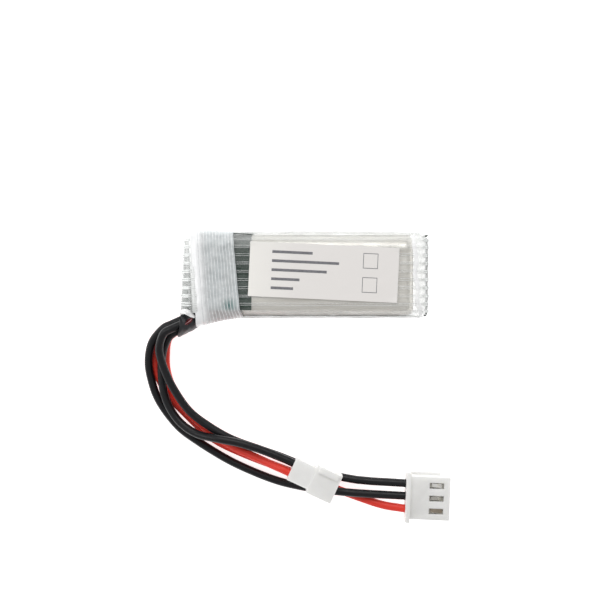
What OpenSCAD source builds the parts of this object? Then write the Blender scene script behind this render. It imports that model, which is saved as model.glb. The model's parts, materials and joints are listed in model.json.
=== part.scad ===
// Two-cell lithium polymer pack: two stacked pouch cells in fibre-reinforced tape, with a pair of
// main leads ending in a two-way plug and three balance leads ending in a three-way plug.
// Millimetres. Origin: middle of the pack's underside. +X runs along the pack away from the
// leads' end, +Y away from the plugs, +Z up.

/* [Cells] */
// Length of a cell's pouch, without its terminal seal
cell_l = 37.1; // [34:0.1:37.1]
// Width of a cell's pouch
cell_w = 15.2; // [14.6:0.1:15.2]
// Thickness of a cell
cell_t = 6; // [5.8:0.1:6]
// Thickness of the pouch laminate
film_t = 0.15; // [0.1:0.01:0.15]
// Turns in each flattened winding
winding_turns = 2.25; // [1.25:0.5:2.25]
// Width of a terminal tab
tab_w = 3; // [2:0.1:3]

/* [Wrapping] */
// Thickness of the lengthwise tape
tape_t = 0.15; // [0.1:0.01:0.15]
// Width of the lengthwise tape
tape_w = 14.4; // [13:0.1:14.4]
// Thickness of the crosswise band
band_t = 0.2; // [0.1:0.01:0.3]
// Thickness of the green insulating paper
paper_t = 0.2; // [0.1:0.01:0.2]
// Length of the label
label_l = 28.3; // [20:0.1:29]
// Width of the label
label_w = 10.4; // [6:0.1:11]
// Turn of the label on the pack, in degrees
label_turn = -2.7; // [-3:0.1:3]

/* [Leads] */
// Outside diameter of a lead
lead_d = 1.6; // [1.2:0.05:1.6]
// Diameter of the copper strands in a lead
core_d = 0.9; // [0.5:0.05:0.9]

/* [Plugs] */
// Contact spacing of the three-way balance plug
balance_pitch = 2.5; // [2.4:0.05:2.5]
// Length of the balance plug
balance_l = 8.6; // [8.4:0.1:10]
// Width of the balance plug's rear flange
balance_w = 9.8; // [9.4:0.1:10]
// Height of the balance plug
balance_h = 5.7; // [5.5:0.1:6]
// Contact spacing of the two-way main plug
main_pitch = 2; // [1.9:0.05:2]
// Length of the main plug
main_l = 9.6; // [9:0.1:10]
// Width of the main plug's front half
main_w = 5.8; // [5.4:0.1:6]
// Height of the main plug
main_h = 4.6; // [4.4:0.1:4.6]

/* [Hidden] */

$fn = 48;
slack = 0.02;
gap = 0.03;
pack_t = 13.1;
mid_z = pack_t / 2;

// Cell frame: x = 0 at the front of the pouch body, z = 0 under the cup.
cell_x = -16.2;
cell_z = tape_t + paper_t + 0.07;
cup_r = 1.6;
fold_h = 2.6;
seal_l = 2;
seal_gap = 0.4;
lid_z = cell_t - film_t;
rim_z = lid_z - slack;
flange_z = rim_z - seal_gap;
winding_margin = 1.25;
winding_z = (film_t + rim_z) / 2;
winding_l = cell_l - 2 * film_t - winding_margin - 0.5;
winding_flat = cell_w / 2 - film_t - 3.1;
turn_pitch = 0.8;
electrode_t = 0.26;
separator_t = 0.08;
core_r = 0.2;
tab_t = 0.14;
tab_y = 4;
tab_z = flange_z + seal_gap / 2 - tab_t / 2;
tab_foot_z = 1.2;
lug_z = 2.4;
lug_x = -2.6;
negative_lug_x = -2.9;
link_reach = -4.3;

// Side outline of the wrapped pack, clockwise from the top left. The crosswise band presses the
// wrapping in by squeeze as far as squeeze_end.
squeeze = 0.02;
squeeze_end = -11.3;
top_left = -21.3;
top_right = 21.4;
end_left = -23.7;
end_right = 24;
fin_right = 25.9;
shoulder = 4.3;
far_shoulder = 5.9;
outline = [
    [top_left, pack_t - squeeze],
    [squeeze_end - 0.1, pack_t - squeeze],
    [squeeze_end, pack_t],
    [top_right, pack_t],
    [end_right, pack_t - far_shoulder],
    [end_right, far_shoulder],
    [top_right, 0],
    [squeeze_end, 0],
    [squeeze_end - 0.1, squeeze],
    [top_left, squeeze],
    [end_left, shoulder],
    [end_left, pack_t - shoulder]
];
paper_in = tape_t + gap;
terminal_paper_x = -10;
far_paper_x = 19.8;
band_left = -20.8;
band_right = -12.65;
band_slant = 8;
band_y = 7.85;
band_r = 0.6;
label_pos = [3.7, 0.6];
label_t = 0.12;

// Bundle of leads where it leaves the pack. Each lead keeps its place across the bundle:
// [distance to the outer side, height].
lead_r = lead_d / 2;
strand_r = core_d / 2;
bore_r = strand_r + 0.12;
row_step = 0.85;
main_positive_slot = [-row_step, 3.5];
main_negative_slot = [-row_step, 5.3];
balance_positive_slot = [row_step, 3.5];
balance_midpoint_slot = [row_step, 5.3];
balance_negative_slot = [0, 7];
bundle_x = -20.7;
bundle_turn_y = -6.2;
bundle_turn_r = 2.8;
exit_angle = 66;
exit_dir = [-sin(exit_angle), -cos(exit_angle)];
turn_end = [
    bundle_x - bundle_turn_r * (1 - cos(exit_angle)),
    bundle_turn_y - bundle_turn_r * sin(exit_angle)
];
mouth_reach = 2.1;
mouth = turn_end + mouth_reach * exit_dir;
// The leads swing about a vertical axis hinge_reach past the mouth; exit_gap is the leads' gap there.
hinge_reach = 0.77;
exit_gap = 0.75;
cut_x = -19.4;
cut_y = -6;
cut_z = [2, 8.6];
sleeve_l = 2.4;
sleeve_in = [3.7, 5.3];
sleeve_wall = 0.3;
sleeve_z = 5.25;
solder_y = -4.4;
solder_w = 1.7;
solder_out = 0.65;
root_gap = 0.15;
link_y = 3.9;

// Frames of the two plugs: middle of the rear face, and the turn of the mating direction.
main_turn = -25;
main_at = [-2.45, -37.5, 5.8];
main_gap = 0.5;
main_hinge_back = 1;
balance_turn = -2.5;
balance_at = [20, -43.4, 2.9];
balance_hinge_x = 12;
balance_gap = 0.85;
grip_depth = 1.3;
strand_reach = 2.3;

// Routes of the leads from the exit to the plugs, one point per bend. The first point comes from
// the bundle and the last from the plug.
main_positive_route = concat(
    [exit_point(main_positive_slot)],
    [
        [-26.9, -12.4, 2.3], [-27.5, -15.4, 0.9], [-27.2, -19.2, 1.2], [-25.3, -23.6, 2.35],
        [-22, -27.8, 2.35], [-17.5, -31.6, 2.4], [-13.1, -34.2, 2.5], [-8.3, -36.2, 4.1]
    ],
    [main_entry(-1, -main_hinge_back - main_gap)]
);
main_negative_route = concat(
    [exit_point(main_negative_slot)],
    [
        [-26.7, -12.2, 4.3], [-27.9, -15, 2.9], [-28.2, -19.3, 2.6], [-27.4, -24.3, 2.4],
        [-24.9, -28.5, 2.6], [-21.3, -31, 3.6], [-16.8, -31.9, 5.4], [-12.5, -32.7, 5.8],
        [-7.8, -34.2, 5.8]
    ],
    [main_entry(1, -main_hinge_back - main_gap)]
);
balance_positive_route = concat(
    [exit_point(balance_positive_slot)],
    [
        [-27.6, -10.6, 2.6], [-29.2, -13.2, 1.3], [-29.7, -16, 0.8], [-29.2, -19.5, 0.8],
        [-26.9, -23.7, 0.8], [-23.1, -27.8, 0.8], [-18.1, -32.3, 0.8], [-11.8, -35.4, 0.8],
        [-3.4, -38.6, 0.8], [4.2, -41.5, 0.8], [10.5, -43.8, 1], [15.5, -45.3, 2.1]
    ],
    [balance_entry(-1, 0)]
);
balance_midpoint_route = concat(
    [exit_point(balance_midpoint_slot)],
    [
        [-27.7, -10.3, 4.7], [-30, -13, 3.1], [-30.8, -16.6, 2.3], [-30.4, -20.2, 1.7],
        [-28.9, -24.7, 0.9], [-25.4, -29.5, 0.8], [-21.5, -32.6, 0.8], [-14.4, -36.9, 0.8],
        [-6.5, -40.3, 0.8], [-0.8, -41.7, 1.4], [4.2, -42.3, 2.5], [10.5, -42.9, 2.7]
    ],
    [balance_entry(0, 0)]
);
balance_negative_route = concat(
    [exit_point(balance_negative_slot)],
    [
        [-27.4, -11.3, 6.4], [-28.4, -14.5, 4.9], [-27.4, -18.5, 4.3], [-25.5, -22.4, 4.2],
        [-22.6, -26.5, 4.1], [-18.9, -29.4, 4], [-14.4, -32, 3.9], [-9, -34.1, 3],
        [-4.8, -35.7, 1.9], [-0.8, -37.4, 0.9], [4.2, -39.1, 0.8], [10.5, -40.4, 1.8]
    ],
    [balance_entry(1, 0)]
);

// ---- Places ----

// Horizontal unit vector across the bundle at a turn of a degrees, towards its outer side.
function across(a) = [-cos(a), sin(a)];

// Point of a bundle slot, a distance d past the sleeve's mouth.
function past_mouth(slot, d) =
    let (p = mouth + d * exit_dir + slot[0] * across(exit_angle))
    [p[0], p[1], slot[1]];

function exit_point(slot) = past_mouth(slot, hinge_reach + exit_gap);

// Point x ahead of the main plug's rear face, on the contact row side: 1 back, -1 front.
function main_entry(side, x) = main_at + turned([x, side * main_pitch / 2, 0], main_turn);

// Point x ahead of the balance plug's rear face, at contact 1 (back), 0 or -1 (front).
function balance_entry(place, x) = balance_at + turned([x, place * balance_pitch, 0], balance_turn);

function turned(p, a) = [p[0] * cos(a) - p[1] * sin(a), p[0] * sin(a) + p[1] * cos(a), p[2]];

// ---- Curves ----

// Point at t between b and c of a smooth curve through a, b, c, d.
function through(a, b, c, d, t) =
    0.5 * (2 * b + (c - a) * t + (2 * a - 5 * b + 4 * c - d) * t * t
        + (3 * b - a - 3 * c + d) * t * t * t);

// Smooth curve through all points of route, with n steps from one point to the next.
function smooth(route, n) =
    let (
        last = len(route) - 1,
        padded = concat([2 * route[0] - route[1]], route, [2 * route[last] - route[last - 1]])
    )
    concat(
        [for (i = [0:last - 1], k = [0:n - 1])
            through(padded[i], padded[i + 1], padded[i + 2], padded[i + 3], k / n)],
        [route[last]]
    );

// Point where the segment from p to q reaches the plane at x.
function at_x(p, q, x) = p + (q - p) * (x - p[0]) / (q[0] - p[0]);

// The part of a curve before or after the plane at x, for a curve that crosses it once.
function before_x(curve, x) =
    let (kept = [for (p = curve) if (p[0] < x) p], n = len(kept))
    concat(kept, [at_x(curve[n - 1], curve[n], x)]);
function after_x(curve, x) =
    let (kept = [for (p = curve) if (p[0] > x) p], n = len(curve) - len(kept))
    concat([at_x(curve[n - 1], curve[n], x)], kept);

// Centre line of a bundle slot inside the pack, from its inner end at y to the sleeve's mouth.
function root_curve(slot, y) = concat(
    [[bundle_x - slot[0], y, slot[1]]],
    [for (a = [0:exit_angle / 6:exit_angle])
        let (r = bundle_turn_r - slot[0])
        [bundle_x - bundle_turn_r + r * cos(a), bundle_turn_y - r * sin(a), slot[1]]],
    [past_mouth(slot, -slack)]
);

function unit(v) = v / norm(v);

function heading(curve, i) =
    unit(curve[min(i + 1, len(curve) - 1)] - curve[max(i - 1, 0)]);

// Ring of n points with radius r around point i of the curve, square to the curve.
function ring(curve, i, r, n) =
    let (
        ahead = heading(curve, i),
        side = unit(cross([0, 0, 1], ahead)),
        up = cross(ahead, side)
    )
    [for (k = [0:n - 1]) curve[i] + r * cos(360 * k / n) * side + r * sin(360 * k / n) * up];

// Solid round rod along a curve.
module rod(curve, r, n) {
    stations = len(curve);
    points = [for (i = [0:stations - 1]) each ring(curve, i, r, n)];
    walls = [for (i = [0:stations - 2], k = [0:n - 1])
        [i * n + k, (i + 1) * n + k, (i + 1) * n + (k + 1) % n, i * n + (k + 1) % n]];
    caps = [
        [for (k = [0:n - 1]) k],
        [for (k = [n - 1:-1:0]) (stations - 1) * n + k]
    ];
    polyhedron(points, concat(walls, caps), convexity = 10);
}

// Insulation of a lead: a tube around the strands' bore, with n sides outside and m sides inside.
module jacket(curve) {
    n = 10;
    m = 5;
    stations = len(curve);
    per = n + m;
    last = (stations - 1) * per;
    points = [for (i = [0:stations - 1]) each concat(
        ring(curve, i, lead_r, n),
        ring(curve, i, bore_r, m)
    )];
    outside = [for (i = [0:stations - 2], k = [0:n - 1])
        [i * per + k, (i + 1) * per + k, (i + 1) * per + (k + 1) % n, i * per + (k + 1) % n]];
    inside = [for (i = [0:stations - 2], k = [0:m - 1])
        let (a = i * per + n, b = (i + 1) * per + n, next = (k + 1) % m)
        [a + next, b + next, b + k, a + k]];
    // Each inner corner of an end face meets two outer sides.
    ends = [for (k = [0:m - 1]) each let (a = n + k, b = n + (k + 1) % m, c = 2 * k)
        [
            [a, c, c + 1],
            [a, c + 1, b],
            [b, c + 1, (c + 2) % n]
        ]];
    far_ends = [for (f = ends) [last + f[2], last + f[1], last + f[0]]];
    polyhedron(points, concat(outside, inside, ends, far_ends), convexity = 10);
}

// Copper strands of a lead, as one round core.
module strands(curve, bare_start, bare_end) {
    last = len(curve) - 1;
    core = concat(
        bare_start > 0 ? [curve[0] - bare_start * heading(curve, 0)] : [],
        curve,
        bare_end > 0 ? [curve[last] + bare_end * heading(curve, last)] : []
    );
    rod(core, strand_r - slack, 6);
}

// ---- Outlines ----

// Closed clockwise outline moved inwards by t, corner by corner.
function inset(shape, t) =
    let (n = len(shape))
    [for (i = [0:n - 1])
        let (
            before = unit(shape[i] - shape[(i + n - 1) % n]),
            after = unit(shape[(i + 1) % n] - shape[i]),
            inward_before = [before[1], -before[0]],
            inward_after = [after[1], -after[0]]
        )
        shape[i] + t * (inward_before + inward_after) / (1 + inward_before * inward_after)];

// Rectangle w by h centred on the origin, with round corners.
module round_rect(w, h, r) {
    square([w - 2 * r, h], center = true);
    square([w, h - 2 * r], center = true);
    for (x = [-1, 1], y = [-1, 1]) {
        translate([x * (w / 2 - r), y * (h / 2 - r)]) circle(r);
    }
}

// Puts a drawing of the X-Z side view into place, w wide and centred on Y.
module side_extrude(w) {
    rotate([90, 0, 0]) linear_extrude(w, center = true, convexity = 6) children();
}

// Puts a drawing of the Y-Z end view into place, from x over length l.
module end_extrude(x, l) {
    translate([x, 0, 0]) rotate([90, 0, 90]) linear_extrude(l, convexity = 6) children();
}

// ---- Cell ----

module in_lower_cell() {
    translate([cell_x, 0, cell_z]) children();
}

// The upper cell is the lower one turned over, so its terminals change sides.
module in_upper_cell() {
    translate([cell_x, 0, pack_t - cell_z]) rotate([180, 0, 0]) children();
}

// End view of the deep-drawn cup: flat base, round lower corners, straight sides up to height h.
module cup_profile(w, h, r) {
    translate([0, r + (h - r) / 2]) square([w, h - r], center = true);
    translate([0, r / 2]) square([w - 2 * r, r], center = true);
    for (side = [-1, 1]) translate([side * (w / 2 - r), r]) circle(r);
}

module pouch_cup() {
    color("silver") difference() {
        union() {
            end_extrude(0, cell_l) cup_profile(cell_w, rim_z, cup_r);
            translate([-seal_l, -cell_w / 2 + film_t, flange_z - film_t])
                cube([seal_l + film_t, cell_w - 2 * film_t, film_t]);
        }
        translate([0, 0, film_t])
            end_extrude(film_t, cell_l - 2 * film_t)
            cup_profile(cell_w - 2 * film_t, rim_z, cup_r - film_t);
        translate([-1, film_t - cell_w / 2, flange_z])
            cube([1 + 2 * film_t, cell_w - 2 * film_t, seal_gap + 1]);
    }
}

module pouch_lid() {
    fold_y = cell_w / 2 + slack;
    color("gainsboro") {
        translate([-seal_l, -fold_y, lid_z]) cube([cell_l + seal_l, 2 * fold_y, film_t]);
        for (side = [-1, 1]) {
            translate([0, side * (fold_y + film_t / 2) - film_t / 2, cell_t - fold_h])
                cube([cell_l, film_t, fold_h]);
        }
    }
}

// Flattened spiral strip in the end view, starting at radius r, t thick.
module spiral_strip(r, t) {
    step = 15;
    angles = [step / 2:step:360 * winding_turns];
    function spot(a, shift) =
        let (radius = r + turn_pitch * a / 360 + shift)
        [radius * cos(a) + sign(cos(a)) * winding_flat, radius * sin(a)];
    outer_edge = [for (a = angles) spot(a, t / 2)];
    inner_edge = [for (a = angles) spot(a, -t / 2)];
    count = len(outer_edge);
    polygon(concat(outer_edge, [for (i = [count - 1:-1:0]) inner_edge[i]]));
}

module winding(r, t, trim) {
    translate([0, 0, winding_z])
        end_extrude(film_t + winding_margin + trim, winding_l - 2 * trim)
        spiral_strip(r, t);
}

module cathode() {
    color("dimgray") winding(core_r, electrode_t, 0.6);
}

module anode() {
    color("peru") winding(core_r + turn_pitch / 2, electrode_t, 0.3);
}

module separator() {
    color("white") {
        winding(core_r + turn_pitch / 4, separator_t, 0);
        winding(core_r + 3 * turn_pitch / 4, separator_t, 0);
    }
}

// Sealing film that closes the terminal end around both tabs.
module tab_seal() {
    width = cell_w - 2 * film_t - 2 * slack;
    color("lightyellow") difference() {
        translate([-seal_l, -width / 2, flange_z + slack])
            cube([seal_l + film_t, width, seal_gap - 2 * slack]);
        for (side = [-1, 1]) {
            translate([-seal_l - 1, side * tab_y - tab_w / 2 - slack, tab_z - slack])
                cube([seal_l + 2, tab_w + 2 * slack, tab_t + 2 * slack]);
        }
    }
}

// Terminal tab from the winding's end out through the seal to reach, on one side.
module tab(side, reach) {
    foot_x = film_t + winding_margin - 2 * tab_t;
    translate([reach, side * tab_y - tab_w / 2, tab_z]) cube([foot_x + tab_t - reach, tab_w, tab_t]);
    translate([foot_x, side * tab_y - tab_w / 2, tab_foot_z])
        cube([tab_t, tab_w, tab_z + tab_t - tab_foot_z]);
}

// ---- Pack ----

module lower_positive_tab() {
    color("lightgray") in_lower_cell() {
        tab(-1, lug_x);
        translate([lug_x, -tab_y - tab_w / 2, lug_z]) cube([tab_t, tab_w, tab_z - lug_z + tab_t]);
    }
}

module lower_negative_tab() {
    color("silver") in_lower_cell() tab(1, link_reach);
}

module upper_positive_tab() {
    color("lightgray") in_upper_cell() tab(-1, link_reach);
}

module upper_negative_tab() {
    color("silver") in_upper_cell() tab(1, negative_lug_x);
}

module cell_pad() {
    pad_t = pack_t - 2 * (cell_z + cell_t) - 2 * slack;
    pad_margin = 0.8;
    color("whitesmoke")
        translate([cell_x + pad_margin, -cell_w / 2 + pad_margin, mid_z - pad_t / 2])
        cube([cell_l - 2 * pad_margin, cell_w - 2 * pad_margin, pad_t]);
}

// Nickel strip that joins the lower cell's negative tab to the upper cell's positive tab.
module series_link() {
    bottom = cell_z + tab_z + tab_t + slack;
    link_l = 1.8;
    margin = 0.2;
    color("silver")
        translate([cell_x + link_reach + margin / 2, tab_y - tab_w / 2 + margin, bottom])
        cube([link_l, tab_w - 2 * margin, 2 * (mid_z - bottom)]);
}

// Hole for a bare strand end along Y, at a slot of the bundle.
module strand_hole(slot, y) {
    translate([bundle_x - slot[0], y, slot[1]])
        rotate([90, 0, 0])
        cylinder(r = strand_r + slack, h = 8, center = true);
}

// Solder around a slot's strand end, reaching to the plane at x.
module solder_block(slot, y, x, below, above) {
    start = bundle_x - slot[0] - solder_out;
    translate([start, y - solder_w / 2, slot[1] - below]) cube([x - start, solder_w, below + above]);
}

module positive_solder() {
    color("lightslategray") difference() {
        solder_block(balance_positive_slot, solder_y, cell_x + lug_x - slack, 0.7, 0.7);
        strand_hole(main_positive_slot, solder_y);
        strand_hole(balance_positive_slot, solder_y);
    }
}

module negative_solder() {
    lug_side = cell_x + negative_lug_x - slack;
    color("lightslategray") difference() {
        union() {
            solder_block(main_negative_slot, solder_y, lug_side, 0.6, 1.4);
            solder_block(balance_negative_slot, solder_y, lug_side, 0.8, 0.7);
        }
        strand_hole(main_negative_slot, solder_y);
        strand_hole(balance_negative_slot, solder_y);
    }
}

module midpoint_solder() {
    color("lightslategray") difference() {
        solder_block(balance_midpoint_slot, link_y, cell_x + link_reach - slack, 0.6, 1.6);
        strand_hole(balance_midpoint_slot, link_y);
    }
}

// Opening at the corner of the wrapping through which the leads come out.
module exit_cut() {
    translate([cut_x - 10, cut_y - 10, cut_z[0]]) cube([10, 10, cut_z[1] - cut_z[0]]);
}

// Closed band of sheet in the side view, from inset a to inset b of the pack's outline.
module sheet_ring(a, b) {
    difference() {
        polygon(inset(outline, a));
        polygon(inset(outline, b));
    }
}

module terminal_paper() {
    color("darkslategray") difference() {
        side_extrude(tape_w) intersection() {
            sheet_ring(paper_in, paper_in + paper_t);
            translate([terminal_paper_x - 20, -1]) square([20, pack_t + 2]);
        }
        exit_cut();
    }
}

module far_end_paper() {
    color("darkslategray") side_extrude(tape_w) intersection() {
        sheet_ring(paper_in, paper_in + paper_t);
        translate([far_paper_x, -1]) square([20, pack_t + 2]);
    }
}

module lengthwise_tape() {
    color("aliceblue") difference() {
        side_extrude(tape_w) difference() {
            union() {
                polygon(outline);
                translate([top_right, mid_z - tape_t]) square([fin_right - top_right, 2 * tape_t]);
            }
            polygon(inset(outline, tape_t));
        }
        exit_cut();
    }
}

module cross_band() {
    inner_h = pack_t + 2 * gap;
    color("lightsteelblue") difference() {
        translate([0, 0, mid_z]) end_extrude(band_left, 12) difference() {
            round_rect(2 * (band_y + band_t), inner_h + 2 * band_t, band_r + band_t);
            round_rect(2 * band_y, inner_h, band_r);
        }
        translate([band_right, 0, 0]) rotate([0, 0, band_slant])
            translate([0, -20, -5]) cube([20, 40, pack_t + 10]);
        exit_cut();
    }
}

module label() {
    color("white") translate([label_pos[0], label_pos[1], pack_t + slack]) rotate([0, 0, label_turn])
        translate([-label_l / 2, -label_w / 2, 0]) cube([label_l, label_w, label_t]);
}

module exit_sleeve() {
    color("black") translate([mouth[0], mouth[1], sleeve_z])
        rotate([0, 0, 90 - exit_angle]) rotate([90, 0, 90]) linear_extrude(sleeve_l, convexity = 4)
        difference() {
            round_rect(sleeve_in[0] + 2 * sleeve_wall, sleeve_in[1] + 2 * sleeve_wall, 0.9);
            round_rect(sleeve_in[0], sleeve_in[1], 0.6);
        }
}

// ---- Leads ----

root_end_y = solder_y - solder_w / 2 - root_gap;
link_end_y = link_y - solder_w / 2 - root_gap;
main_positive_root_curve = root_curve(main_positive_slot, root_end_y);
main_negative_root_curve = root_curve(main_negative_slot, root_end_y);
balance_positive_root_curve = root_curve(balance_positive_slot, root_end_y);
balance_midpoint_root_curve = root_curve(balance_midpoint_slot, link_end_y);
balance_negative_root_curve = root_curve(balance_negative_slot, root_end_y);

steps = 3;
main_positive_curve = smooth(main_positive_route, steps);
main_negative_curve = smooth(main_negative_route, steps);
balance_positive_curve = smooth(balance_positive_route, steps);
balance_midpoint_curve = smooth(balance_midpoint_route, steps);
balance_negative_curve = smooth(balance_negative_route, steps);

lead_end_x = balance_hinge_x - balance_gap;
tail_start_x = balance_hinge_x + balance_gap;

// Last stretch of a main lead, from the hinge into the plug.
function main_tail(side) = [
    main_entry(side, main_gap - main_hinge_back),
    main_entry(side, 0),
    main_entry(side, grip_depth)
];

// Last stretch of a balance lead, from the hinge into the plug.
function balance_tail(curve, place) = concat(
    after_x(curve, tail_start_x),
    [balance_entry(place, grip_depth)]
);

module main_positive_root() {
    color("red") jacket(main_positive_root_curve);
}

module main_negative_root() {
    color("black") jacket(main_negative_root_curve);
}

module balance_positive_root() {
    color("red") jacket(balance_positive_root_curve);
}

module balance_midpoint_root() {
    color("black") jacket(balance_midpoint_root_curve);
}

module balance_negative_root() {
    color("black") jacket(balance_negative_root_curve);
}

module main_positive_lead() {
    color("red") jacket(main_positive_curve);
}

module main_negative_lead() {
    color("black") jacket(main_negative_curve);
}

module balance_positive_lead() {
    color("red") jacket(before_x(balance_positive_curve, lead_end_x));
}

module balance_midpoint_lead() {
    color("black") jacket(before_x(balance_midpoint_curve, lead_end_x));
}

module balance_negative_lead() {
    color("black") jacket(before_x(balance_negative_curve, lead_end_x));
}

module main_positive_tail() {
    color("red") jacket(main_tail(-1));
}

module main_negative_tail() {
    color("black") jacket(main_tail(1));
}

module balance_positive_tail() {
    color("red") jacket(balance_tail(balance_positive_curve, -1));
}

module balance_midpoint_tail() {
    color("black") jacket(balance_tail(balance_midpoint_curve, 0));
}

module balance_negative_tail() {
    color("black") jacket(balance_tail(balance_negative_curve, 1));
}

module root_strands() {
    color("orangered") {
        for (curve = [
            main_positive_root_curve, main_negative_root_curve, balance_positive_root_curve,
            balance_midpoint_root_curve, balance_negative_root_curve
        ]) strands(curve, solder_w, 0);
    }
}

module lead_strands() {
    color("orangered") {
        strands(main_positive_curve, 0, 0);
        strands(main_negative_curve, 0, 0);
        strands(before_x(balance_positive_curve, lead_end_x), 0, 0);
        strands(before_x(balance_midpoint_curve, lead_end_x), 0, 0);
        strands(before_x(balance_negative_curve, lead_end_x), 0, 0);
    }
}

module main_tail_strands() {
    color("orangered") for (side = [-1, 1]) strands(main_tail(side), 0, strand_reach);
}

module balance_tail_strands() {
    color("orangered") {
        strands(balance_tail(balance_positive_curve, -1), 0, strand_reach);
        strands(balance_tail(balance_midpoint_curve, 0), 0, strand_reach);
        strands(balance_tail(balance_negative_curve, 1), 0, strand_reach);
    }
}

// ---- Plugs ----

entry_r = 0.88;
cavity_w = 1.7;
cavity_h = 2.2;
pin_hole = 0.9;
contact_w = 1.5;
contact_h = 1.7;
contact_wall = 0.18;
entry_l = 2;

module in_main_plug() {
    translate(main_at) rotate([0, 0, main_turn]) children();
}

module in_balance_plug() {
    translate(balance_at) rotate([0, 0, balance_turn]) children();
}

// Room for one contact on the axis y: round lead entry, contact chamber and pin opening.
module contact_room(y, l) {
    front_wall = 0.7;
    start = entry_l - 0.1;
    translate([-1, y, 0]) rotate([0, 90, 0]) cylinder(r = entry_r, h = 1 + entry_l);
    translate([start, y - cavity_w / 2, -cavity_h / 2])
        cube([l - front_wall - start, cavity_w, cavity_h]);
    translate([start, y - pin_hole / 2, -pin_hole / 2]) cube([l, pin_hole, pin_hole]);
}

// Crimped socket contact on the axis y, its box ending at x = l.
module contact(y, l) {
    box_l = 3.4;
    crimp_x = 2.1;
    crimp_l = 1.3;
    crimp_r = strand_r + 0.24;
    strip_w = 0.8;
    post_w = 0.5;
    inner_w = contact_w - 2 * contact_wall;
    inner_h = contact_h - 2 * contact_wall;
    translate([0, y, 0]) {
        difference() {
            translate([l - box_l, -contact_w / 2, -contact_h / 2]) cube([box_l, contact_w, contact_h]);
            translate([l - box_l - 1, -inner_w / 2, -inner_h / 2]) cube([box_l + 2, inner_w, inner_h]);
        }
        difference() {
            union() {
                translate([crimp_x, 0, 0]) rotate([0, 90, 0]) cylinder(r = crimp_r, h = crimp_l);
                translate([crimp_x, -strip_w / 2, -contact_h / 2])
                    cube([l - crimp_x - 1, strip_w, contact_wall]);
                translate([crimp_x, -post_w / 2, -contact_h / 2]) cube([crimp_l, post_w, contact_h / 2]);
            }
            translate([crimp_x - 1, 0, 0])
                rotate([0, 90, 0])
                cylinder(r = strand_r + slack, h = crimp_l + 2);
        }
    }
}

module main_plug_housing() {
    rear_l = 4.4;
    rear_w = 4.5;
    rear_drop = 0.4;
    latch_w = 1.2;
    latch_rise = 0.5;
    latch_margin = 0.6;
    front_l = main_l - rear_l;
    color("white") in_main_plug() difference() {
        union() {
            translate([0, -rear_w / 2, -main_h / 2]) cube([rear_l + 1, rear_w, main_h - rear_drop]);
            translate([rear_l, -main_w / 2, -main_h / 2]) cube([front_l, main_w, main_h]);
            translate([rear_l + latch_margin, main_w / 2 - latch_w, -main_h / 2])
                cube([front_l - 2 * latch_margin, latch_w, main_h + latch_rise]);
        }
        for (side = [-1, 1]) contact_room(side * main_pitch / 2, main_l);
    }
}

module main_plug_contacts() {
    color("gold") in_main_plug() for (side = [-1, 1]) contact(side * main_pitch / 2, main_l - 1);
}

module balance_plug_housing() {
    flange_l = 0.8;
    body_w = balance_w - 1.4;
    body_h = balance_h - 0.5;
    window = [2.9, 1.15];
    window_x = 4.5;
    rib = [balance_l - 2, 0.8, 1.6];
    rib_y = body_w / 2 + 0.1;
    body_x = flange_l / 2;
    color("white") in_balance_plug() difference() {
        translate([0, 0, -balance_at[2]]) {
            translate([0, -balance_w / 2, 0]) cube([flange_l, balance_w, balance_h]);
            translate([body_x, -body_w / 2, 0]) cube([balance_l - body_x, body_w, body_h]);
            for (side = [-1, 1]) {
                translate([body_x, side * rib_y - rib[1] / 2, 0]) cube(rib);
            }
        }
        for (place = [-1:1]) {
            contact_room(place * balance_pitch, balance_l);
            translate([window_x, place * balance_pitch - window[1] / 2, 0])
                cube([window[0], window[1], balance_h]);
        }
    }
}

module balance_plug_contacts() {
    color("gold") in_balance_plug() for (place = [-1:1]) contact(place * balance_pitch, balance_l - 1);
}

// ---- Output ----

in_lower_cell() pouch_cup();  // lower_pouch_cup
in_lower_cell() pouch_lid();  // lower_pouch_lid
in_lower_cell() cathode();  // lower_cathode
in_lower_cell() anode();  // lower_anode
in_lower_cell() separator();  // lower_separator
in_lower_cell() tab_seal();  // lower_tab_seal
lower_positive_tab();
lower_negative_tab();
in_upper_cell() pouch_cup();  // upper_pouch_cup
in_upper_cell() pouch_lid();  // upper_pouch_lid
in_upper_cell() cathode();  // upper_cathode
in_upper_cell() anode();  // upper_anode
in_upper_cell() separator();  // upper_separator
in_upper_cell() tab_seal();  // upper_tab_seal
upper_positive_tab();
upper_negative_tab();
cell_pad();
series_link();
positive_solder();
negative_solder();
midpoint_solder();
terminal_paper();
far_end_paper();
lengthwise_tape();
cross_band();
label();
exit_sleeve();
main_positive_root();
main_negative_root();
balance_positive_root();
balance_midpoint_root();
balance_negative_root();
root_strands();
main_positive_lead();
main_negative_lead();
balance_positive_lead();
balance_midpoint_lead();
balance_negative_lead();
lead_strands();
main_positive_tail();
main_negative_tail();
main_tail_strands();
balance_positive_tail();
balance_midpoint_tail();
balance_negative_tail();
balance_tail_strands();
main_plug_housing();
main_plug_contacts();
balance_plug_housing();
balance_plug_contacts();
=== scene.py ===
"""Looks of a small two-cell lithium polymer pack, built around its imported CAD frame.

Lengths in this script are millimetres in the CAD frame until they reach a mesh, which is in metres:
+X along the pack away from the leads, +Y away from the plugs, +Z up out of the label.
"""
import json
import math

import bmesh
import bpy
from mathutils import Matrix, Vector, noise


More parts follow.
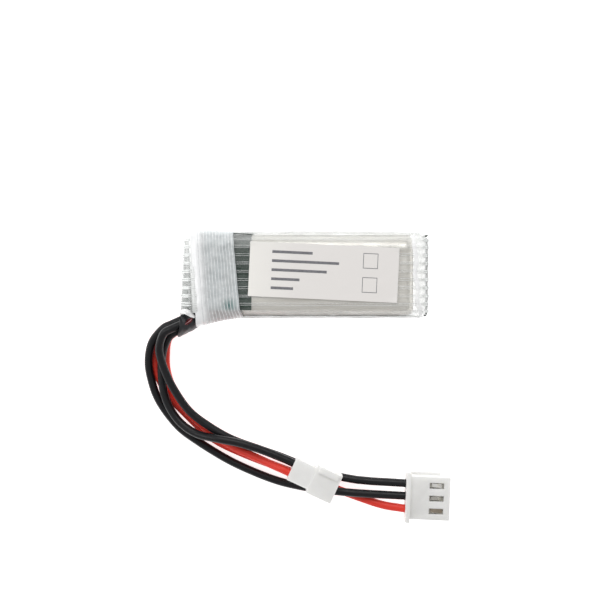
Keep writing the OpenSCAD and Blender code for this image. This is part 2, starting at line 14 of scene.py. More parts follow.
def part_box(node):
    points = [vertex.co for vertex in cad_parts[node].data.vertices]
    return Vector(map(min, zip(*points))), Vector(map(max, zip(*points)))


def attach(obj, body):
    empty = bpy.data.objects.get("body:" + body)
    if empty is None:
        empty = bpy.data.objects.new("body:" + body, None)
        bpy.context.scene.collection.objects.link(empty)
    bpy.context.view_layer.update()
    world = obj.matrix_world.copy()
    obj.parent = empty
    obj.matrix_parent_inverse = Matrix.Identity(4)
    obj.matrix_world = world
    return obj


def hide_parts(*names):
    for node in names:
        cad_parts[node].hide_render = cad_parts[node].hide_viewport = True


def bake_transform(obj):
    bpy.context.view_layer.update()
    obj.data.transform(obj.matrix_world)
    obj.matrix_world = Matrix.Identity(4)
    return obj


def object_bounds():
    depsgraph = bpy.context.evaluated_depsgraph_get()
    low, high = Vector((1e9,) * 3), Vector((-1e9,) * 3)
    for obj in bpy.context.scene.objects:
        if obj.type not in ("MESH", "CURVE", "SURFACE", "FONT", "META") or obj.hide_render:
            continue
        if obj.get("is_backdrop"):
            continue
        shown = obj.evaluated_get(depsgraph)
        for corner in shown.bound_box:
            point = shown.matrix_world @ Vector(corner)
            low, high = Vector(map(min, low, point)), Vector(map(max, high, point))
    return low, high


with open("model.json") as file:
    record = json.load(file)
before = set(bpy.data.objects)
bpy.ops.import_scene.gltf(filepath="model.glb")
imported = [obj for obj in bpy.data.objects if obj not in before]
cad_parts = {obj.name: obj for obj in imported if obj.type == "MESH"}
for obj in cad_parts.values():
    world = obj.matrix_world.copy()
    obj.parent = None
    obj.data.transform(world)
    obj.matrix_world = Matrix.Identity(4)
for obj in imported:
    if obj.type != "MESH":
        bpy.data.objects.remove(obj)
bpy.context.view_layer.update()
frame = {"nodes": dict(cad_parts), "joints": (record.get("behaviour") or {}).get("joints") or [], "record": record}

MM = 0.001
SLOT_OF = {s["node"]: s["material_slot"] for s in frame["record"]["subparts"]}
UP = Vector((0, 0, 1))
WELD = 2e-6  # metres; joins the points that neighbouring CAD faces share


# ---- Places taken from the frame ----

def box_mm(node):
    """Lowest and highest corner of a CAD node, in millimetres."""
    low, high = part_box(node)
    return low / MM, high / MM


def joint(name):
    """A CAD joint by name."""
    return next(j for j in frame["joints"] if j["name"] == name)


def joint_mm(name):
    """Position of a CAD joint, in millimetres."""
    return Vector(joint(name)["pos_m"]) / MM


TAPE_LOW, TAPE_HIGH = box_mm("lengthwise_tape")
BAND_LOW, BAND_HIGH = box_mm("cross_band")
PAPER_LOW, PAPER_HIGH = box_mm("terminal_paper")
FAR_LOW, FAR_HIGH = box_mm("far_end_paper")
LABEL_LOW, LABEL_HIGH = box_mm("label")
LOWER_CELL_LOW, LOWER_CELL_HIGH = box_mm("lower_pouch_cup")
UPPER_CELL_LOW, UPPER_CELL_HIGH = box_mm("upper_pouch_cup")
SLEEVE_LOW, SLEEVE_HIGH = box_mm("exit_sleeve")
PACK_TOP = TAPE_HIGH.z
MID_Z = (TAPE_LOW.z + TAPE_HIGH.z) / 2
EXIT = joint_mm("leads_swing")

# Radius of the wrapping's long edges, and half of the flat width between them
EDGE_R = 2.7
FLAT_HALF = UPPER_CELL_HIGH.y - EDGE_R + 0.15
# The wrapping roughens, and its fibre bundles spread, with the distance from these planes
WRAP_MIDDLE_X = -1.2
YARN_MIDDLE_X = 0.7
# Where the wrapping narrows to the fin, and where the fibre bundles end in it
FIN_ROOT_X = 24.0
YARN_END_X = 24.35
# Slants of the band's two edges, in millimetres of X for each millimetre of Y
BAND_LEFT_SLANT = 0.065
BAND_RIGHT_SLANT = 0.091


# ---- Curves ----

def smooth_curve(points, step):
    """Smooth curve through all points, resampled at about the given step."""
    pts = [Vector(p) for p in points]
    padded = [2 * pts[0] - pts[1]] + pts + [2 * pts[-1] - pts[-2]]
    fine = []
    for i in range(1, len(padded) - 2):
        a, b, c, d = padded[i - 1:i + 3]
        pieces = max(2, int((c - b).length / step) * 3)
        for k in range(pieces):
            t = k / pieces
            fine.append(0.5 * (2 * b + (c - a) * t + (2 * a - 5 * b + 4 * c - d) * t * t
                               + (3 * b - a - 3 * c + d) * t ** 3))
    fine.append(pts[-1].copy())
    return resample(fine, step)


def resample(points, step):
    """The same polyline with evenly spaced points."""
    lengths = [0.0]
    for p, q in zip(points, points[1:]):
        lengths.append(lengths[-1] + (q - p).length)
    total = lengths[-1]
    count = max(2, round(total / step))
    result, i = [], 0
    for k in range(count + 1):
        goal = total * k / count
        while i < len(lengths) - 2 and lengths[i + 1] < goal:
            i += 1
        span = lengths[i + 1] - lengths[i]
        t = (goal - lengths[i]) / span if span > 1e-12 else 0.0
        result.append(points[i].lerp(points[i + 1], min(1.0, max(0.0, t))))
    return result


def heading(path, i):
    """Unit direction of a path at its point i."""
    return (path[min(i + 1, len(path) - 1)] - path[max(i - 1, 0)]).normalized()


def ramp(x, start, end):
    """0 before start, 1 after end, smooth in between."""
    t = min(1.0, max(0.0, (x - start) / (end - start)))
    return t * t * (3 - 2 * t)


def ripple(x, y, z, scale):
    """Smooth seeded unevenness between about -1 and 1."""
    return noise.noise(Vector((x, y, z)) / scale)


# ---- Meshes ----

def new_object(name, data):
    """A new object in the scene."""
    obj = bpy.data.objects.new(name, data)
    bpy.context.scene.collection.objects.link(obj)
    return obj


def settle(obj, slot, *nodes, body="pack"):
    """Fixes a piece to its body and hides the CAD nodes that it stands for; slot is not used."""
    if body:
        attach(obj, body)
    if nodes:
        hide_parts(*nodes)
    return obj


def add_piece(name, surface, slot, *nodes, body="pack", material=None, crisp=60.0):
    """Piece from (verts, faces) in millimetres. Edges over crisp degrees stay sharp; with 0 all do.

    It has its slot's material unless another is given. With no body, it is left unattached.
    """
    verts, faces = surface
    mesh = bpy.data.meshes.new(name)
    mesh.from_pydata([Vector(v) * MM for v in verts], [], faces)
    mesh.validate()
    mesh.update()
    mesh.materials.append(material or MATERIALS[slot])
    bm = bmesh.new()
    bm.from_mesh(mesh)
    bmesh.ops.recalc_face_normals(bm, faces=bm.faces)
    bm.to_mesh(mesh)
    bm.free()
    if crisp:
        mesh.shade_smooth()
        mesh.set_sharp_from_angle(angle=math.radians(crisp))
    return settle(new_object(name, mesh), slot, *nodes, body=body)


def even_grid(rows, cols, point):
    """Grid of points, where point(t, s) gives one from its shares along rows and columns."""
    return [[point(i / rows, j / cols) for j in range(cols + 1)] for i in range(rows + 1)]


def grid_normals(grid, closed=False):
    """Unit normal at each point of a grid of surface points."""
    rows, cols = len(grid), len(grid[0])
    normals = []
    for i in range(rows):
        line = []
        for j in range(cols):
            after, before = (i + 1) % rows, i - 1
            if not closed:
                after, before = min(i + 1, rows - 1), max(i - 1, 0)
            du = grid[after][j] - grid[before][j]
            dv = grid[i][min(j + 1, cols - 1)] - grid[i][max(j - 1, 0)]
            n = du.cross(dv)
            line.append(n.normalized() if n.length > 1e-12 else UP.copy())
        normals.append(line)
    return normals


def sheet_mesh(grid, thickness, closed=False):
    """Closed skin of a sheet around a grid of mid-surface points: (verts, faces)."""
    rows, cols = len(grid), len(grid[0])
    normals = grid_normals(grid, closed)
    half = thickness / 2
    verts = [grid[i][j] + normals[i][j] * half * side
             for side in (1, -1) for i in range(rows) for j in range(cols)]
    under = rows * cols

    def at(i, j):
        return (i % rows) * cols + j

    faces = []
    for i in range(rows if closed else rows - 1):
        for j in range(cols - 1):
            faces.append((at(i, j), at(i + 1, j), at(i + 1, j + 1), at(i, j + 1)))
            faces.append((under + at(i, j), under + at(i, j + 1),
                          under + at(i + 1, j + 1), under + at(i + 1, j)))
        faces.append((at(i, 0), under + at(i, 0), under + at(i + 1, 0), at(i + 1, 0)))
        last = cols - 1
        faces.append((at(i, last), at(i + 1, last), under + at(i + 1, last), under + at(i, last)))
    if not closed:
        for j in range(cols - 1):
            faces.append((at(0, j), at(0, j + 1), under + at(0, j + 1), under + at(0, j)))
            end = rows - 1
            faces.append((at(end, j), under + at(end, j), under + at(end, j + 1), at(end, j + 1)))
    return verts, faces


def bridge(a, b):
    """Faces between two rings of point numbers."""
    return list(zip(a, a[1:] + a[:1], b[1:] + b[:1], b))


def tube_mesh(path, radius, sides, bore=None, ups=None, flat=1.0):
    """Closed tube or rod along a path: (verts, faces). flat squeezes the section along ups.

    The radius is one number, or one for each point of a rod.
    """
    count = len(path)
    radii = radius if isinstance(radius, list) else [radius] * count
    up = ups[0] if ups else UP
    verts = []
    ring_count = 1 if bore is None else 2
    for i in range(count):
        ahead = heading(path, i)
        if ups:
            up = ups[i]
        side = ahead.cross(up).normalized()
        up = side.cross(ahead).normalized()
        for r in (radii[i], bore)[:ring_count]:
            for k in range(sides):
                a = 2 * math.pi * k / sides
                verts.append(path[i] + side * (r * math.cos(a)) + up * (r * flat * math.sin(a)))

    def ring(i, which=0):
        start = (i * ring_count + which) * sides
        return list(range(start, start + sides))

    faces = []
    for i in range(count - 1):
        for which in range(ring_count):
            faces += bridge(ring(i, which), ring(i + 1, which))
    for i in (0, count - 1):
        faces += [tuple(ring(i))] if bore is None else bridge(ring(i), ring(i, 1))
    return verts, faces


def joined(parts):
    """Several (verts, faces) in one."""
    verts, faces = [], []
    for part_verts, part_faces in parts:
        offset = len(verts)
        verts.extend(part_verts)
        faces.extend(tuple(offset + i for i in face) for face in part_faces)
    return verts, faces


# ---- Material tools ----

class Finish:
    """A node material around one Principled shader, in object coordinates."""

    INPUTS = {"roughness": "Roughness", "metallic": "Metallic", "specular": "Specular IOR Level",
              "subsurface": "Subsurface Weight", "subsurface_scale": "Subsurface Scale"}
    # Sockets of the Mix node when it mixes colours
    MIX_FACTOR, MIX_A, MIX_B, MIX_RESULT = 0, 6, 7, 2

    def __init__(self, name, **values):
        self.material = bpy.data.materials.new(name)
        self.material.use_nodes = True
        self.nodes = self.material.node_tree.nodes
        self.links = self.material.node_tree.links
        self.shader = self.nodes["Principled BSDF"]
        self.place = self.nodes.new("ShaderNodeTexCoord").outputs["Object"]
        for key, value in values.items():
            self.shader.inputs[self.INPUTS[key]].default_value = value

    def noise(self, size_mm, detail=3.0, stretch=(1, 1, 1)):
        """Noise value with features of about the given size."""
        mapping = self.nodes.new("ShaderNodeMapping")
        mapping.inputs["Scale"].default_value = stretch
        self.links.new(self.place, mapping.inputs["Vector"])
        texture = self.nodes.new("ShaderNodeTexNoise")
        texture.inputs["Scale"].default_value = 1.0 / (size_mm * MM)
        texture.inputs["Detail"].default_value = detail
        self.links.new(mapping.outputs["Vector"], texture.inputs["Vector"])
        return texture.outputs["Fac"]

    def axis(self, name):
        """One object coordinate, in metres."""
        split = self.nodes.new("ShaderNodeSeparateXYZ")
        self.links.new(self.place, split.inputs["Vector"])
        return split.outputs[name]

    def facing(self):
        """0 where a surface faces the eye, 1 where it is seen edge on."""
        node = self.nodes.new("ShaderNodeLayerWeight")
        node.inputs["Blend"].default_value = 0.5
        return node.outputs["Facing"]

    def math(self, operation, a, b=0.0):
        node = self.nodes.new("ShaderNodeMath")
        node.operation = operation
        for socket, value in zip(node.inputs, (a, b)):
            if isinstance(value, (int, float)):
                socket.default_value = value
            else:
                self.links.new(value, socket)
        return node.outputs["Value"]

    def spread(self, value, low, high, to_low=0.0, to_high=1.0):
        """Maps low..high of a value to to_low..to_high, clamped."""
        node = self.nodes.new("ShaderNodeMapRange")
        self.links.new(value, node.inputs["Value"])
        for key, number in (("From Min", low), ("From Max", high), ("To Min", to_low), ("To Max", to_high)):
            node.inputs[key].default_value = number
        return node.outputs["Result"]

    def mix(self, factor, a, b):
        """Colour a at factor 0, b at factor 1."""
        node = self.nodes.new("ShaderNodeMix")
        node.data_type = "RGBA"
        self.links.new(factor, node.inputs[self.MIX_FACTOR])
        for socket, value in ((node.inputs[self.MIX_A], a), (node.inputs[self.MIX_B], b)):
            if isinstance(value, tuple):
                socket.default_value = (*value, 1.0)
            else:
                self.links.new(value, socket)
        return node.outputs[self.MIX_RESULT]

    def drive(self, name, value):
        """Links a value to an input of the shader."""
        self.links.new(value, self.shader.inputs[name])

    def colour(self, value):
        self.drive("Base Color", value)

    def rough(self, unevenness, low, high):
        """Roughness between low and high, by a noise value."""
        self.drive("Roughness", self.spread(unevenness, 0.3, 0.7, low, high))

    def glow(self, strength):
        """White light of the surface's own."""
        self.shader.inputs["Emission Color"].default_value = (1, 1, 1, 1)
        self.shader.inputs["Emission Strength"].default_value = strength

    def bumped(self, height, depth_mm):
        """The material, once its surface is raised by the height value."""
        node = self.nodes.new("ShaderNodeBump")
        node.inputs["Strength"].default_value = 1.0
        node.inputs["Distance"].default_value = depth_mm * MM
        self.links.new(height, node.inputs["Height"])
        self.drive("Normal", node.outputs["Normal"])
        return self.material


def two_tone(f, base, vary, size_mm, detail=4.0, stretch=(1, 1, 1)):
    """Base colour with soft patches that are lighter or darker by the share vary."""
    patches = f.noise(size_mm, detail, stretch)
    darker = tuple(c * (1 - vary) for c in base)
    lighter = tuple(min(1.0, c * (1 + vary)) for c in base)
    return f.mix(f.spread(patches, 0.3, 0.7), darker, lighter)


def past_band_edge(f):
    """X coordinate that is the same all along the band's slanted edge by the leads."""
    return f.math("ADD", f.axis("X"), f.math("MULTIPLY", f.axis("Y"), BAND_LEFT_SLANT))


def whitening(f):
    """1 on the ends and the back of the wrapping, less on its front side, which is kept darker as painted shade.
    """
    from_middle = f.math("ABSOLUTE", f.math("ADD", f.axis("X"), -WRAP_MIDDLE_X * MM))
    end = f.spread(from_middle, 20.3 * MM, 21.3 * MM)
    back = f.spread(f.axis("Y"), 3 * MM, 7 * MM)
    return f.spread(f.math("MAXIMUM", end, back), 0, 1, 0.08, 1.0)


def crease_and_highlight_by_band(f):
    """1 along the crease just outside the band's edge by the leads, and a haze beyond it: whitened film, partly a
    painted highlight that carries on the band's.
    """
    away = f.math("ABSOLUTE", f.math("SUBTRACT", past_band_edge(f), (BAND_LOW.x - 0.3) * MM))
    crease = f.spread(away, 0.35 * MM, 0.7 * MM, 1.0, 0.0)
    return f.math("MAXIMUM", crease, f.spread(away, 1.2 * MM, 1.35 * MM, 0.2, 0.0))


def spot(f, x, y, size):
    """1 at a place on the face of the pack, fading to 0 at about the given distance."""
    across = f.math("POWER", f.math("SUBTRACT", f.axis("X"), x * MM), 2.0)
    along = f.math("POWER", f.math("SUBTRACT", f.axis("Y"), y * MM), 2.0)
    distance = f.math("SQRT", f.math("ADD", across, along))
    return f.spread(distance, 0.0, size * MM, 1.0, 0.0)


# ---- Materials ----

def laminate():
    """Foil laminate of the pouches: warm silver, brushed faintly along the pack, softly creased, with painted
    shade along its front side.
    """
    f = Finish("pouch_laminate", metallic=0.6, roughness=0.38, specular=0.5)
    streaks = f.noise(0.5, 3, (0.04, 1, 1))
    silver = f.mix(f.spread(streaks, 0.35, 0.65), (0.69, 0.665, 0.61), (0.8, 0.78, 0.73))
    # Painted shade: the front long side, which turns away from the lamps, is darkened in the colour.
    front = f.spread(f.axis("Y"), -8.0 * MM, -6.3 * MM, 0.75, 0.0)
    f.colour(f.mix(front, silver, (0.4, 0.38, 0.37)))
    f.rough(f.noise(3.0), 0.3, 0.46)
    return f.bumped(f.noise(2.2, 3, (0.35, 1, 1)), 0.12)


def green_paper():
    """Dark green insulating paper: dense short fibres with a light glaze."""
    f = Finish("insulating_paper", roughness=0.55, specular=0.35)
    fibres = f.noise(0.35, 5, (0.5, 1, 1))
    f.colour(f.mix(f.spread(fibres, 0.3, 0.7), (0.012, 0.025, 0.018), (0.03, 0.055, 0.04)))
    return f.bumped(f.noise(0.2, 4), 0.02)


def clear_film(name, tint, alpha, cloud, edge, rough, front=0.0, glow=0.0):
    """Thin clear film: clouds drawn out along the pack, whiter where it is seen edge on, partly as haze and partly
    as a painted reflection.

    The front side is greyer and denser by the share front: painted shade, as that side lies in the shade.
    """
    f = Finish(name, roughness=rough, specular=0.7)
    # Painted shade: the film's front side is greyer and more opaque.
    shade = f.spread(f.axis("Y"), -8.2 * MM, -7.7 * MM, front, 0.0)
    f.colour(f.mix(shade, two_tone(f, tint, 0.03, 2.5), (0.3, 0.28, 0.3)))
    f.glow(glow)
    clouds = f.spread(f.noise(0.7, 4, (0.08, 1, 1)), 0.35, 0.7, alpha, alpha + cloud)
    # Whiter where seen edge on: partly the film's haze, partly a painted reflection.
    edge_on_haze_and_sheen = f.math("MULTIPLY", f.math("POWER", f.facing(), 2.2), whitening(f))
    # Painted light: the back side, which faces the key lamp, is made whiter.
    back = f.spread(f.axis("Y"), 4 * MM, 7.5 * MM, 0.0, 0.12)
    white = f.math("ADD", back, f.math("MULTIPLY", edge_on_haze_and_sheen, edge))
    # Whiter crease beside the band: partly creased film, partly a painted highlight.
    white = f.math("ADD", white, f.math("MULTIPLY", crease_and_highlight_by_band(f), 0.7))
    cover = f.math("ADD", f.math("ADD", clouds, white), f.math("MULTIPLY", shade, 0.6))
    f.drive("Alpha", f.math("MINIMUM", cover, 1.0))
    return f.bumped(f.noise(1.4, 3, (0.3, 1, 1)), 0.15)


def band_film():
    """Cloudy banding film: several layers, white where it bends over the edge by the leads, partly from its layers
    and partly as a painted highlight.
    """
    f = Finish("banding_tape", roughness=0.22, specular=0.65)
    wander = f.math("MULTIPLY", f.math("SUBTRACT", f.noise(3.5, 3), 0.5), 1.6 * MM)
    across = f.math("ADD", past_band_edge(f), wander)
    # White bend by the leads: partly layered film, partly a painted highlight.
    fold_white_and_highlight = f.spread(across, (BAND_LOW.x + 1.2) * MM, (BAND_LOW.x + 3.2) * MM, 1.0, 0.0)
    base = f.mix(f.spread(f.noise(2.4, 4), 0.3, 0.7), (0.74, 0.79, 0.805), (0.9, 0.93, 0.935))
    base = f.mix(spot(f, -14.2, -5.75, 1.7), base, (0.2, 0.37, 0.36))
    # Painted shade: the band's front side is greyer.
    front = f.spread(f.axis("Y"), -7.0 * MM, -6.4 * MM, 1.0, 0.0)
    base = f.mix(front, base, (0.72, 0.69, 0.69))
    f.colour(f.mix(fold_white_and_highlight, base, (0.98, 0.985, 0.99)))
    cloud = f.spread(f.noise(1.6, 4), 0.3, 0.7, 0.44, 0.66)
    # More opaque where seen edge on: partly the film's haze, partly a painted reflection.
    edge_on_haze_and_sheen = f.math("POWER", f.facing(), 2.0)
    opaque = f.math("ADD", cloud, f.math("MULTIPLY", edge_on_haze_and_sheen, 0.5))
    f.drive("Alpha", f.math("MINIMUM", f.math("MAXIMUM", opaque, f.math("MULTIPLY", fold_white_and_highlight, 0.95)), 1.0))
    return f.bumped(f.noise(1.8, 3), 0.12)


def yarn(name, tint, alpha, ends=None):
    """Glass fibre bundle under film: pale, whiter round both ends of the tape, lost in the fin."""
    f = Finish(name, roughness=0.45, specular=0.4)
    f.colour(two_tone(f, tint, 0.05, 0.3))
    cover = f.spread(f.noise(0.8, 3), 0.3, 0.7, alpha * 0.8, min(1.0, alpha * 1.15))
    if ends is not None:
        white_from, fade_from = ends
        out = f.math("ABSOLUTE", f.math("SUBTRACT", f.axis("X"), YARN_MIDDLE_X * MM))
        near = f.spread(out, white_from * MM, (white_from + 0.8) * MM, 0.0, 0.62)
        far = f.spread(f.axis("X"), fade_from * MM, (fade_from + 0.4) * MM, 1.0, 0.1)
        cover = f.math("MULTIPLY", f.math("MINIMUM", f.math("ADD", cover, near), 1.0), far)
    f.drive("Alpha", cover)
    return f.bumped(f.noise(0.15, 2), 0.01)


def label_face():
    """Coated white label paper: fine tooth, slightly warmer towards its end by the leads."""
    f = Finish("label_paper", roughness=0.5, specular=0.3)
    along = f.spread(f.axis("X"), LABEL_LOW.x * MM, (LABEL_LOW.x + 9) * MM)
    warm = f.mix(along, (0.95, 0.93, 0.885), (0.86, 0.83, 0.805))
    f.colour(f.mix(f.spread(f.noise(0.25, 4), 0.2, 0.8, 0.0, 0.06), warm, (0.6, 0.6, 0.6)))
    return f.bumped(f.noise(0.12, 3), 0.006)


def ink():
    """Grey print that has soaked slightly unevenly into the paper."""
    f = Finish("label_ink", roughness=0.6, specular=0.3)
    f.colour(two_tone(f, (0.2, 0.2, 0.215), 0.3, 0.2))
    return f.bumped(f.noise(0.1, 2), 0.003)


def silicone(name, base, dust):
    """Silicone lead insulation: satin, faint dust and handling marks along it."""
    f = Finish(name, roughness=0.4, specular=0.3, subsurface=0.04, subsurface_scale=0.0006)
    dusty = tuple(min(1, c * 1.4 + 0.03) for c in base)
    f.colour(f.mix(f.spread(f.noise(0.7, 5), 0.45, 0.85, 0.0, dust), base, dusty))
    f.rough(f.noise(1.6, 3), 0.3, 0.46)
    return f.bumped(f.noise(0.5, 3), 0.012)


def shrink_black():
    """Heat-shrink sleeve: satin black with fine wrinkles across it."""
    f = Finish("shrink_sleeve", roughness=0.36, specular=0.5)
    f.colour(two_tone(f, (0.02, 0.021, 0.024), 0.3, 0.8))
    return f.bumped(f.noise(0.7, 4, (1, 1, 0.5)), 0.08)


def nylon():
    """Moulded white nylon: slightly translucent, faint flow marks and fine grain."""
    f = Finish("nylon_white", roughness=0.42, specular=0.45, subsurface=0.5, subsurface_scale=0.0012)
    f.shader.inputs["Subsurface Radius"].default_value = (1.0, 1.0, 0.95)
    f.colour(two_tone(f, (0.86, 0.855, 0.835), 0.02, 1.8))
    f.rough(f.noise(0.8, 4), 0.36, 0.5)
    return f.bumped(f.noise(0.12, 3), 0.004)


def metal(name, base, rough, size_mm=0.4, stretch=(1, 1, 1)):
    """Plain metal with a worked, slightly uneven surface."""
    f = Finish(name, metallic=1.0, roughness=rough)
    f.colour(two_tone(f, base, 0.12, size_mm, 4, stretch))
    f.rough(f.noise(size_mm, 4, stretch), rough * 0.75, rough * 1.25)
    return f.bumped(f.noise(size_mm / 2, 3, stretch), 0.01)


def coating(name, base, rough=0.7):
    """Matt electrode coating or film: fine even grain."""
    f = Finish(name, roughness=rough, specular=0.3)
    f.colour(two_tone(f, base, 0.15, 0.3))
    return f.bumped(f.noise(0.1, 3), 0.006)


MATERIALS = {
    "pouch_laminate": laminate(),
    "cathode_coat": coating("cathode_coat", (0.02, 0.02, 0.022)),
    "anode_coat": coating("anode_coat", (0.16, 0.075, 0.035)),
    "separator_film": coating("separator_film", (0.8, 0.8, 0.78), 0.5),
    "seal_film": coating("seal_film", (0.62, 0.56, 0.36), 0.45),
    "tab_aluminium": metal("tab_aluminium", (0.75, 0.75, 0.75), 0.3, 0.5, (0.1, 1, 1)),
    "tab_nickel": metal("tab_nickel", (0.55, 0.52, 0.46), 0.32, 0.5, (0.1, 1, 1)),
    "adhesive_pad": coating("adhesive_pad", (0.75, 0.75, 0.72), 0.8),
    "solder": metal("solder", (0.5, 0.5, 0.52), 0.35, 0.6),
    "insulating_paper": green_paper(),
    "clear_tape": clear_film("clear_tape", (0.92, 0.935, 0.925), 0.0, 0.06, 0.74, 0.15, front=0.6),
    "banding_tape": band_film(),
    "label_paper": label_face(),
    "shrink_sleeve": shrink_black(),
    "silicone_black": silicone("silicone_black", (0.006, 0.006, 0.0075), 0.12),
    "silicone_red": silicone("silicone_red", (0.76, 0.045, 0.028), 0.12),
    "copper": metal("copper", (0.75, 0.42, 0.28), 0.3, 0.25),
    "nylon_white": nylon(),
    "tinned_contact": metal("tinned_contact", (0.62, 0.6, 0.55), 0.28, 0.4),
}
YARN_LONG = yarn("yarn_long", (0.92, 0.94, 0.93), 0.26, (22.1, 23.9))
YARN_CROSS = yarn("yarn_cross", (0.94, 0.96, 0.97), 0.7)
# Painted highlight: white fold film with a faint glow of its own.
FOLD_HIGHLIGHT = clear_film("folded_film_highlight", (1.0, 1.0, 1.0), 0.55, 0.35, 0.3, 0.12, glow=0.05)
INK = ink()
# Painted shade: the red lead inside the nick, darkened.
NICK_SHADED_RED = silicone("nick_shaded_red", (0.12, 0.012, 0.016), 0.3)
# Painted highlight: a pale pink line along the red lead in the nick.
NICK_HIGHLIGHT = silicone("nick_highlight", (0.62, 0.33, 0.34), 0.3)
# Lit and shaded copies of the tinned contact: painted highlight and painted shade.
CONTACT_LIT = metal("contact_lit", (1.0, 0.97, 0.9), 0.5, 1.2)
CONTACT_SHADED = metal("contact_shaded", (0.42, 0.36, 0.29), 0.45, 1.2)


# ---- Pouch cells ----

FLANGE_LENGTH = 2.0
POUCH_ROWS, POUCH_AROUND = 90, 96
INNER_SHARE = Vector((0.992, 0.975, 0.96))  # size of a pouch's inner skin beside its outer one


def pouch_section(u, half_w, height, r):
    """Point around a cup's end view: round shoulders at the top, square at the lid side."""
    arc = r * math.pi / 2
    flat = half_w - r
    side = height - r
    s = abs(u) * (flat + arc + side + half_w)
    if s < flat:
        y, z = s, height
    elif s < flat + arc:
        a = (s - flat) / r
        y, z = flat + r * math.sin(a), side + r * math.cos(a)
    elif s < flat + arc + side:
        y, z = half_w, side - (s - flat - arc)
    else:
        y, z = half_w - (s - flat - arc - side), 0.0
    return math.copysign(y, u) if y else 0.0, z


def pouch_skin(front, back, half_w, height, lid_z, direction, seed):
    """Rings of points along a pouch, with rounded ends, small creases and a slightly sunken face."""
    length = back - front
    grid = []
    for i in range(POUCH_ROWS + 1):
        t = i / POUCH_ROWS
        x = front + length * t
        end = min(t, 1 - t) * length
        round_off = 1 - (1 - min(1.0, end / 1.7)) ** 2.4
        size = 0.55 + 0.45 * round_off ** 0.5
        width = half_w * (0.965 + 0.035 * round_off)
        row = []
        for j in range(POUCH_AROUND):
            u = -1 + 2 * (j + 0.5) / POUCH_AROUND
            y, z = pouch_section(u, width, height * size, EDGE_R * (0.6 + 0.4 * size))
            crease = 0.05 * ripple(x * 0.35, y, z + seed, 1.6) * ramp(z, 0.5, 2.5)
            sag = 0.06 * (1 - (y / half_w) ** 2) * ramp(z, height - 1.0, height)
            row.append(Vector((x, y, lid_z + direction * (z + crease - sag))))
        grid.append(row)
    return grid


def pouch_shell(grid, middle):
    """Closed outer skin of a pouch around its rings, with an inner skin: (verts, faces)."""
    outer = [p for row in grid for p in row]
    inner = [middle + Vector([d * share for d, share in zip(p - middle, INNER_SHARE)]) for p in outer]
    rings = [list(range(i * POUCH_AROUND, (i + 1) * POUCH_AROUND)) for i in range(len(grid))]

    def turned_inward(face):
        return tuple(len(outer) + k for k in reversed(face))

    faces = [face for a, b in zip(rings, rings[1:]) for face in bridge(a, b)]
    faces += [turned_inward(face) for face in faces]
    for cap in (rings[0], rings[-1]):
        faces += [tuple(cap), turned_inward(cap)]
    return outer + inner, faces


def terminal_flange(x0, x1, half_w, z, seed):
    """Flange that the tabs pass through: a thin strip with a slightly wavy surface."""
    def point(t, s):
        x, y = x0 + (x1 - x0) * t, half_w * (2 * s - 1)
        return Vector((x, y, z + 0.05 * ripple(x, y, seed, 1.2)))

    return sheet_mesh(even_grid(8, 40, point), 0.32)


def side_seam(front, back, y, lid_z, direction, seed):
    """Heat-sealed side seam folded flat against the pouch."""
    def point(t, s):
        x, z = front + 0.4 + (back - front - 0.8) * t, 0.1 + 2.7 * s
        out = 0.07 * ripple(x, z * 0.6, seed + y, 2.2) + 0.02 * s
        return Vector((x, y + math.copysign(out, y), lid_z + direction * z))

    return sheet_mesh(even_grid(80, 6, point), 0.13)


def pouch_cell(cell, low, high, upwards, seed):
    """Soft pillow of one pouch with folded side seams; upwards says that its rounded base is on top."""
    half_w = high.y - 0.05
    height = high.z - low.z + 0.1
    front, back = low.x + FLANGE_LENGTH, high.x
    lid_z = low.z if upwards else high.z
    direction = 1 if upwards else -1
    skin = pouch_skin(front, back, half_w, height, lid_z, direction, seed)
    middle = Vector(((front + back) / 2, 0, lid_z + direction * height / 2))
    flange = terminal_flange(low.x + 0.1, front + 0.3, half_w - 0.35, lid_z + direction * 0.22, seed)
    seams = [side_seam(front, back, side * (half_w + 0.13), lid_z, direction, seed) for side in (-1, 1)]
    parts = [pouch_shell(skin, middle), flange] + seams
    add_piece(f"{cell}_pouch", joined(parts), "pouch_laminate", f"{cell}_pouch_cup", f"{cell}_pouch_lid",
              crisp=50)


pouch_cell("lower", LOWER_CELL_LOW, LOWER_CELL_HIGH, False, 3.0)
pouch_cell("upper", UPPER_CELL_LOW, UPPER_CELL_HIGH, True, 11.0)


# ---- Lengthwise tape ----

TAPE_COLUMNS = 84
TAPE_SEED = 5.0
YARN_WIDTH, YARN_HEIGHT, YARN_LIFT = 0.15, 0.08, 0.05
YARN_STEP, YARN_FIRST, YARN_PAIRS = 1.57, 7.05, 14
PAIR_HALF_GAP = 0.17


def drape_section(s):
    """Width and drop of the wrapping at distance s from its middle line, measured along it."""
    over = abs(s) - FLAT_HALF
    turn = EDGE_R * math.pi / 2
    if over <= 0:
        return s, 0.0
    if over < turn:
        a = over / EDGE_R
        return math.copysign(FLAT_HALF + EDGE_R * math.sin(a), s), EDGE_R * (1 - math.cos(a))
    down = over - turn
    return math.copysign(FLAT_HALF + EDGE_R + 0.06 * down, s), EDGE_R + down


def draped(x, s, z):
    """Point of the flat side outline moved onto the draped surface."""
    y, drop = drape_section(s)
    share = (z - MID_Z) / (PACK_TOP - MID_Z)
    return Vector((x, y, z - share * drop))


def end_slant(x, y):
    """How far the wrapping's end by the leads is drawn along the pack, as it isn't quite square."""
    return 0.05 * y * ramp(-x, 20.8, 23.2)


